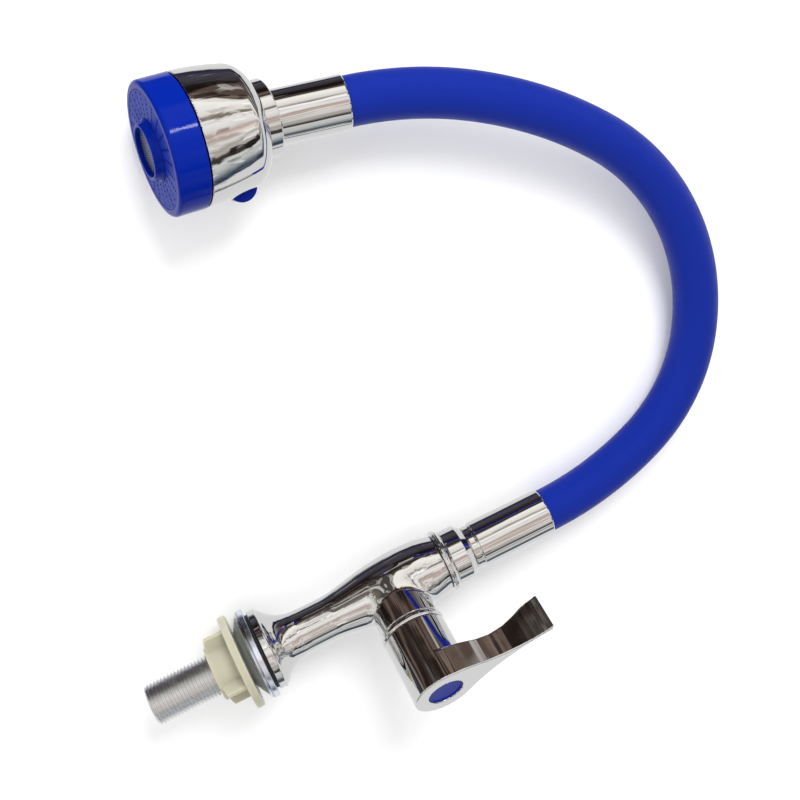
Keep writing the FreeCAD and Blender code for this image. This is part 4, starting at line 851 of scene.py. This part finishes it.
BALL_UP, LEAN_X, LEAN_Y = 46.6, 11.9, -2.4
head_place = (
    hose_end
    @ Matrix.Translation((0, 0, BALL_UP))
    @ Matrix.Rotation(math.radians(LEAN_X), 4, "X")
    @ Matrix.Rotation(math.radians(LEAN_Y), 4, "Y")
    @ Matrix.Rotation(math.radians(180.0), 4, "Z")
)
plated, plated_shader = material("chromed_plastic", (0.7, 0.705, 0.71), Metallic=1.0)
handled(plated, plated_shader, 0.02, 0.06, wave=0.3, speck=0.25)
socket = turned(
    "turned_socket_ring",
    [
        (15.85, -12.45, 0.2),
        (16.7, -12.45, 0.3),
        (17.05, -11.9, 0.3),
        (17.05, -6.15, 0.2),
        (15.1, -6.15, 0.1),
        (15.0, 0.3, 0.1),
        (8.1, 0.3, 0.1),
        (7.6, -2.6, 0.4),
        (6.65, -4.7, 0.3),
        (8.4, -7.15, 0.3),
        (15.85, -7.15, 0.3),
    ],
    plated,
    head_place,
)
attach(socket, "head")
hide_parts("socket_ring")

# Bell: the moulded shell of the spray head, chromed. Its side swells a little towards the face
# ring, and has a slot for the mode tab.


def bell_shape(p, wall):
    """The bell's full form, wall millimetres inside its outer surface."""
    z = p[..., 2]
    side_r = 26.85 + 0.106 * (z - 2.0) - 0.0043 * (z - 2.0) * (z - 25.4) - wall
    flat = (np.hypot(p[..., 0], p[..., 1]) - side_r) / 1.008
    return both(flat, -5.95 + wall - z, 7.9 - wall)


def bell_field(p):
    """Outer form less inner form, less the socket's hole and the slot."""
    z = p[..., 2]
    shell = np.maximum(bell_shape(p, 0.0), z - 25.35)
    shell = carve(shell, np.maximum(bell_shape(p, 1.8), -60 - z), 0.25)
    shell = carve(shell, np.hypot(p[..., 0], p[..., 1]) - 15.15, 0.3)
    slot = from_box(p, (30.0, 0.0, 8.0), (8.0, 3.75, 7.6), 0.6)
    return carve(shell, slot, 0.4)


bell = cast("plated_bell", bell_field, (-30.5, -30.5, -7), (30.5, 30.5, 26.5), 0.55, plated, head_place)
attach(bell, "head")
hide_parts("spray_bell")

# Mode tab: blue plastic, rocking on a steel pin inside the bell; its round thumb edge stands out
# of the slot.


def toggle_field(p):
    """A thick disc with rounded rims, and the arm that reaches the spool."""
    turned_p = np.stack([p[..., 0] - 24.6, p[..., 2] - 7.6, p[..., 1]], -1)
    lobe = from_cylinder(turned_p, 6.87, -3.45, 3.45, 1.1)
    root, way = np.array([22.0, 0.0, 11.2]), np.array([-17.2, 0.0, 6.3])
    t = np.clip(((p - root) @ way) / (way @ way), 0, 1)
    rod = p - (root + t[..., None] * way)
    arm = np.maximum(np.hypot(rod[..., 0], rod[..., 2]) - 1.1, np.abs(rod[..., 1]) - 1.9)
    return merge(lobe, arm, 0.5)


toggle = cast("moulded_tab", toggle_field, (2, -5, -0.5), (34, 5, 21), 0.4, blue_gloss, head_place)
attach(toggle, "toggle")
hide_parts("mode_toggle")

# Face ring: glossy blue plastic, moulded with a full round front edge. It is screwed into the
# bell's mouth over the spray plate.

face_ring = turned(
    "moulded_face_ring",
    [
        (24.3, 21.9, 0.2),
        (26.2, 21.9, 0.2),
        (26.2, 25.8, 0.15),
        (28.9, 25.85, 0.35),
        (29.25, 26.4, 0.4),
        (29.25, 40.1, 2.9),
        (25.65, 40.15, 0.35),
        (25.65, 38.0, 0.1),
        (24.3, 38.0, 0.1),
    ],
    blue_gloss,
    head_place,
)
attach(face_ring, "head")
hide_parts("face_ring")

# Spray plate: a disc of satin blue plastic, pierced by radial rows of small jets with low raised
# lips. The face ring holds it.

PLATE_BLUE = (0.008, 0.024, 0.28)
plate_mat, plate_shader = material("blue_plate", PLATE_BLUE, IOR=1.48, Specular_IOR_Level=0.05)
plate_bump = handled(plate_mat, plate_shader, 0.3, 0.42, wave=0.2, grain=0.01)
RAYS, JETS, FIRST_JET, JET_GAP = 24, 5, 15.4, 2.15


def local_plane(tree, place):
    """Sockets with a place's own x and y, in millimetres, from the object coordinates."""
    where = node(tree, "ShaderNodeTexCoord").outputs["Object"]
    back = place.inverted()
    found = []
    for row in (back[0], back[1]):
        dot = node(
            tree,
            "ShaderNodeVectorMath",
            {0: where, 1: (row[0] / MM, row[1] / MM, row[2] / MM)},
            operation="DOT_PRODUCT",
        )
        found.append(math_node(tree, "ADD", dot.outputs["Value"], row[3]))
    return found


def refinished(name, finish):
    """The solid of that name, with its material changed."""
    solid = frame["nodes"][name]
    solid.data.materials.clear()
    solid.data.materials.append(finish)
    return solid


tree = plate_mat.node_tree
across, along = local_plane(tree, head_place)
out = distance_node(tree, across, along)
bearing = math_node(tree, "DIVIDE", math_node(tree, "ARCTAN2", along, across), TAU / RAYS)
off_ray = math_node(tree, "FRACT", math_node(tree, "ADD", bearing, RAYS + 0.5))
off_ray = math_node(tree, "MULTIPLY", math_node(tree, "SUBTRACT", off_ray, 0.5), TAU / RAYS)
off_ray = math_node(tree, "MULTIPLY", off_ray, out)
row = math_node(tree, "DIVIDE", math_node(tree, "SUBTRACT", out, FIRST_JET), JET_GAP)
row = math_node(tree, "MAXIMUM", math_node(tree, "ROUND", row), 0.0)
row = math_node(tree, "MINIMUM", row, JETS - 1.0)
row_radius = math_node(tree, "MULTIPLY_ADD", row, JET_GAP, FIRST_JET)
gap = distance_node(tree, off_ray, math_node(tree, "SUBTRACT", out, row_radius))
# The jets are painted nearly black: painted shade in their holes.
jet_hole_shade = mix_colors(tree, faded(tree, gap, 0.62, 0.42), PLATE_BLUE, (0.004, 0.006, 0.06))
tree.links.new(jet_hole_shade, plate_shader.inputs["Base Color"])
bumped(tree, plate_shader, faded(tree, gap, 0.95, 0.6), 0.25, plate_bump)
plate = refinished("spray_plate", plate_mat)

# Nozzle collar: a tube of glossy blue plastic round the aerator, pressed into the middle of the
# plate and standing proud of it.

nozzle = turned(
    "moulded_nozzle",
    [
        (10.45, 33.5, 0.1),
        (13.6, 33.5, 0.1),
        (13.65, 40.3, 0.8),
        (12.5, 41.5, 1.2),
        (11.85, 43.65, 0.6),
        (10.5, 43.65, 0.5),
    ],
    blue_gloss,
    head_place,
)
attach(nozzle, "head")
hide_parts("nozzle_collar")

# Aerator mesh: fine woven steel wire over a perforated cup, set inside the collar. It mixes air
# into the jet.

WIRE_GAP = 1.7
mesh_mat, mesh_shader = material("mesh_steel", (0.32, 0.34, 0.38), Metallic=0.9)
mesh_bump = handled(mesh_mat, mesh_shader, 0.35, 0.5)
tree = mesh_mat.node_tree
waves = [
    math_node(tree, "SINE", math_node(tree, "MULTIPLY", way, TAU / WIRE_GAP))
    for way in local_plane(tree, head_place)
]
weave = math_node(tree, "MAXIMUM", *[math_node(tree, "ABSOLUTE", wave) for wave in waves])
# Along the wires the steel is lighter, and the gaps between the wires are painted dark: painted shade
# in the openings of the weave.
wire_and_gap_shade = mix_colors(tree, faded(tree, weave, 0.93, 0.75), (0.26, 0.28, 0.42), (0.05, 0.06, 0.14))
tree.links.new(wire_and_gap_shade, mesh_shader.inputs["Base Color"])
bumped(tree, mesh_shader, weave, 0.2, mesh_bump)
mesh_node = refinished("aerator_mesh", mesh_mat)

# Inner pieces: the valve, the seals, the ball joint and the head's insides. They are machined
# brass and steel, ceramic, rubber and white plastic, hidden until the tap is opened.

brass, brass_shader = material("valve_brass", (0.75, 0.6, 0.3), Metallic=1.0)
handled(brass, brass_shader, 0.18, 0.35, wave=0.1)
white, white_shader = material("white_plastic", (0.8, 0.8, 0.78), IOR=1.46)
handled(white, white_shader, 0.35, 0.5, wave=0.1)
ceramic, ceramic_shader = material("disc_ceramic", (0.82, 0.82, 0.78), IOR=1.6)
handled(ceramic, ceramic_shader, 0.12, 0.2)
INNER = {
    "valve_brass": brass,
    "bright_steel": steel,
    "white_plastic": white,
    "hose_plastic": hose_plastic,
    "disc_ceramic": ceramic,
    "black_rubber": rubber,
}
for part in frame["record"]["subparts"]:
    finish = INNER.get(part["material_slot"])
    if finish and not part["node"].startswith(("base_gasket", "gooseneck", "water_hose")):
        inner = refinished(part["node"], finish)

# Stage: the tap lies on a white sweep, seen from straight above it in soft light. It rests on
# three points: the rim of the head, the mounting nut and the middle of the hose.

look = Vector((0.47003, 0.86889, 0.15527)).normalized()
above = Vector((-0.82685, 0.37189, 0.42192)).normalized()
right = look.cross(above).normalized()
above = right.cross(look).normalized()
eye = Vector((-0.3840, -0.5351, 0.0143))
camera_data = bpy.data.cameras.new("camera")
camera_data.lens = 58.5
camera_data.sensor_width = 36
camera_data.clip_start = 0.01
camera = bpy.data.objects.new("camera", camera_data)
camera.matrix_world = Matrix(
    (
        (right.x, above.x, -look.x, eye.x),
        (right.y, above.y, -look.y, eye.y),
        (right.z, above.z, -look.z, eye.z),
        (0, 0, 0, 1),
    )
)
bpy.context.scene.collection.objects.link(camera)
bpy.context.scene.camera = camera


def seen_points(objs):
    """The objects' points as (right, above, depth) from the camera, in metres."""
    found = []
    for obj in objs:
        co = np.empty(len(obj.data.vertices) * 3, np.float32)
        obj.data.vertices.foreach_get("co", co)
        found.append((co.reshape(-1, 3) - np.array(eye)) @ np.array([right, above, look]).T)
    return np.concatenate(found)


def deepest(objs):
    """The one of the objects' points that lies farthest from the camera."""
    points = seen_points(objs)
    return points[points[:, 2].argmax()]


# The table leans so that it just clears the three resting points.
rests = np.array([deepest((bell, face_ring)), deepest((nut, washer)), deepest(skins[3:5])])
lean_right, lean_above, _ = np.linalg.solve(np.c_[rests[:, :2], np.ones(3)], rests[:, 2])
everything = seen_points((body, lever, bell, face_ring, nut, washer, low_ferrule, *skins))
CLEARANCE, TABLE_HALF = 0.0015, 1.6
table_depth = float((everything @ (-lean_right, -lean_above, 1)).max()) + CLEARANCE
paper, paper_shader = material("paper", (0.98, 0.98, 0.98), Roughness=0.9)
# The sweep is clear from behind, so that the tap can be seen from below.
tree = paper.node_tree
back_side = node(tree, "ShaderNodeNewGeometry").outputs["Backfacing"]
clear = node(tree, "ShaderNodeBsdfTransparent")
choose = node(
    tree,
    "ShaderNodeMixShader",
    {0: back_side, 1: paper_shader.outputs[0], 2: clear.outputs[0]},
)
tree.links.new(choose.outputs[0], tree.nodes["Material Output"].inputs["Surface"])
middle = eye + look * table_depth
to_right = (right + look * lean_right) * TABLE_HALF
to_above = (above + look * lean_above) * TABLE_HALF
table_points = [
    middle + to_right * a + to_above * b for a, b in ((-1, -1), (1, -1), (1, 1), (-1, 1))
]
table_mesh = bpy.data.meshes.new("table")
table_mesh.from_pydata(table_points, [], [(0, 1, 2, 3)])
table_mesh.materials.append(paper)
table = bpy.data.objects.new("table", table_mesh)
bpy.context.scene.collection.objects.link(table)
table.visible_glossy = False


def softbox(name, place, aim, size, power, mirrored=False):
    """An area light at place (right, above, towards the eye, in metres) that faces aim."""
    data = bpy.data.lights.new(name, "AREA")
    data.shape = "RECTANGLE"
    data.size, data.size_y = size
    data.energy = power
    spot = middle + right * place[0] + above * place[1] - look * place[2]
    goal = middle + right * aim[0] + above * aim[1]
    lamp = bpy.data.objects.new(name, data)
    lamp.rotation_euler = (goal - spot).to_track_quat("-Z", "Y").to_euler()
    lamp.location = spot
    lamp.visible_glossy = mirrored
    bpy.context.scene.collection.objects.link(lamp)
    return lamp


softbox("key", (0.25, 0.65, 1.15), (0, 0), (0.6, 0.5), 12.5)
softbox("fill", (-1.1, -0.2, 0.9), (0, 0), (0.8, 0.8), 3)
# The window shows as a highlight on the glossy blue pieces, and lights nothing else.
window = softbox("window", (0.478, 0.431, 0.938), (-0.09, 0.12), (0.08, 0.24), 3.0, mirrored=True)
flagged = bpy.data.collections.new("lit_by_window")
for piece in (face_ring, nozzle, toggle, button):
    flagged.objects.link(piece)
window.light_linking.receiver_collection = flagged

# Room: what the chrome mirrors. Bands across the view, bright in the middle, brown and black
# above, black and grey-blue below, and the pale sweep behind. Only mirrored rays see them.

world = bpy.data.worlds.new("room")
bpy.context.scene.world = world
world.use_nodes = True
world.cycles.sampling_method = "NONE"
tree = world.node_tree
background = tree.nodes["Background"]
direction = node(tree, "ShaderNodeTexCoord").outputs["Generated"]


def facing(way):
    """How far the ray's direction points along a way."""
    made = node(
        tree, "ShaderNodeVectorMath", {0: direction, 1: tuple(way)}, operation="DOT_PRODUCT"
    )
    return made.outputs["Value"]


rise = facing(above * 0.966 - right * 0.26)
turn = math_node(tree, "ARCTAN2", rise, facing(-look))
broad = node(tree, "ShaderNodeTexNoise", {"Vector": direction, "Scale": 1.3, "Detail": 1.5})
sharp = node(
    tree,
    "ShaderNodeTexNoise",
    {"Vector": direction, "Scale": 3.6, "Detail": 4.0, "Distortion": 1.4},
)
bent = math_node(tree, "MULTIPLY_ADD", broad.outputs["Fac"], 0.5, turn)
bent = math_node(tree, "MULTIPLY_ADD", sharp.outputs["Fac"], 0.26, bent)
# The two noises together move the bands by this much on average.
NOISE_MEAN = 0.38
band = math_node(tree, "MULTIPLY_ADD", bent, 1 / TAU, 0.5 - NOISE_MEAN / TAU)


def bands(stops):
    """A colour ramp along the band, from stops of degrees above the view and colours."""
    made = node(tree, "ShaderNodeValToRGB", {"Fac": band})
    cells = made.color_ramp.elements
    while len(cells) < len(stops):
        cells.new(0.5)
    for cell, (degrees, color) in zip(cells, stops):
        cell.position = degrees / 360 + 0.5
        cell.color = (*color, 1)
    return made.outputs["Color"]


PALE = (0.87, 0.87, 0.86)
calm = bands(
    [
        (-106, PALE),
        (-103, (0.08, 0.1, 0.13)),
        (-95, (0.12, 0.15, 0.18)),
        (-88, (0.36, 0.41, 0.42)),
        (-80, (0.7, 0.7, 0.68)),
        (-70, (0.85, 0.84, 0.8)),
        (-66, (0.05, 0.045, 0.04)),
        (-60, (0.07, 0.06, 0.055)),
        (-56, (0.6, 0.55, 0.52)),
        (-46, (0.5, 0.45, 0.4)),
        (-36, (1.0, 0.96, 0.92)),
        (-28, (0.62, 0.52, 0.45)),
        (-18, (0.62, 0.48, 0.43)),
        (-12, (0.95, 0.9, 0.85)),
        (4, (1.15, 1.12, 1.08)),
        (12, (0.9, 0.85, 0.8)),
        (16, (0.25, 0.2, 0.165)),
        (22, (0.36, 0.3, 0.25)),
        (25, (1.0, 0.96, 0.88)),
        (46, (1.25, 1.22, 1.14)),
        (53, (0.95, 0.9, 0.82)),
        (56, (0.06, 0.042, 0.034)),
        (60, (0.28, 0.21, 0.17)),
        (64, (0.12, 0.078, 0.062)),
        (90, (0.14, 0.1, 0.085)),
        (96, (0.3, 0.29, 0.29)),
        (106, (0.36, 0.36, 0.36)),
        (110, (0.012, 0.014, 0.013)),
        (119, (0.02, 0.02, 0.035)),
        (122, PALE),
    ]
)
strong = bands(
    [
        (-107, PALE),
        (-104, (0.05, 0.06, 0.12)),
        (-95, (0.04, 0.05, 0.07)),
        (-90, (0.3, 0.34, 0.36)),
        (-85, (0.95, 0.95, 0.92)),
        (-78, (0.6, 0.6, 0.6)),
        (-70, (0.02, 0.018, 0.018)),
        (-55, (0.03, 0.026, 0.024)),
        (-51, (1.3, 1.28, 1.24)),
        (-38, (0.55, 0.5, 0.46)),
        (-30, (1.2, 1.16, 1.12)),
        (-20, (0.85, 0.66, 0.58)),
        (-14, (0.4, 0.32, 0.29)),
        (-6, (1.35, 1.32, 1.3)),
        (6, (0.7, 0.68, 0.66)),
        (14, (1.4, 1.38, 1.35)),
        (30, (0.7, 0.66, 0.6)),
        (38, (1.4, 1.37, 1.3)),
        (50, (0.7, 0.64, 0.56)),
        (54, (0.1, 0.07, 0.058)),
        (64, (0.03, 0.02, 0.018)),
        (70, (0.62, 0.58, 0.54)),
        (77, (0.4, 0.36, 0.34)),
        (80, (0.02, 0.016, 0.014)),
        (88, (0.1, 0.085, 0.09)),
        (98, (0.06, 0.055, 0.11)),
        (107, (0.5, 0.5, 0.5)),
        (111, (0.015, 0.015, 0.06)),
        (121, (0.015, 0.015, 0.02)),
        (124, PALE),
    ]
)
patch = node(
    tree,
    "ShaderNodeTexNoise",
    {"Vector": direction, "Scale": 4.2, "Detail": 3.0, "Distortion": 1.0},
)
choice = faded(tree, patch.outputs["Fac"], 0.5, 0.57)

# Up and to the left the room is darker: the bands give way to dim ones there, but for streaks.
dim = bands(
    [
        (2, (0.9, 0.87, 0.84)),
        (12, (0.5, 0.45, 0.4)),
        (17, (0.22, 0.18, 0.15)),
        (29, (0.13, 0.1, 0.085)),
        (39, (0.025, 0.017, 0.014)),
        (59, (0.018, 0.012, 0.01)),
        (61, (0.22, 0.15, 0.12)),
        (64, (0.02, 0.013, 0.011)),
        (71, (0.007, 0.005, 0.005)),
        (82, (0.012, 0.009, 0.009)),
        (94, (0.055, 0.048, 0.06)),
        (112, (0.055, 0.05, 0.085)),
        (122, (0.014, 0.015, 0.024)),
        (134, (0.012, 0.013, 0.02)),
        (145, (0.3, 0.3, 0.3)),
        (160, (0.5, 0.5, 0.5)),
        (172, PALE),
    ]
)
to_side = facing(right * 0.966 + above * 0.26)
angle = math_node(tree, "SUBTRACT", bent, NOISE_MEAN)
# Past the fold the angle falls back three times as fast, which ends the dark part there.
FOLD = math.radians(100)
falling = math_node(tree, "MULTIPLY_ADD", angle, -3.0, 4 * FOLD)
folded = math_node(tree, "MINIMUM", angle, falling)
beyond = math_node(tree, "MULTIPLY_ADD", to_side, -1.6, math_node(tree, "SUBTRACT", folded, 0.56))
streaks = math_node(tree, "MULTIPLY_ADD", choice, -0.45, 0.95)
dark_side = math_node(tree, "MULTIPLY", faded(tree, beyond, -0.04, 0.07), streaks)
mirrored = mix_colors(tree, dark_side, mix_colors(tree, choice, calm, strong), dim)
ray = node(tree, "ShaderNodeLightPath")
seen = mix_colors(tree, ray.outputs["Is Glossy Ray"], (0.89, 0.89, 0.89), mirrored)
tree.links.new(seen, background.inputs["Color"])
bpy.context.scene.view_settings.view_transform = "Standard"
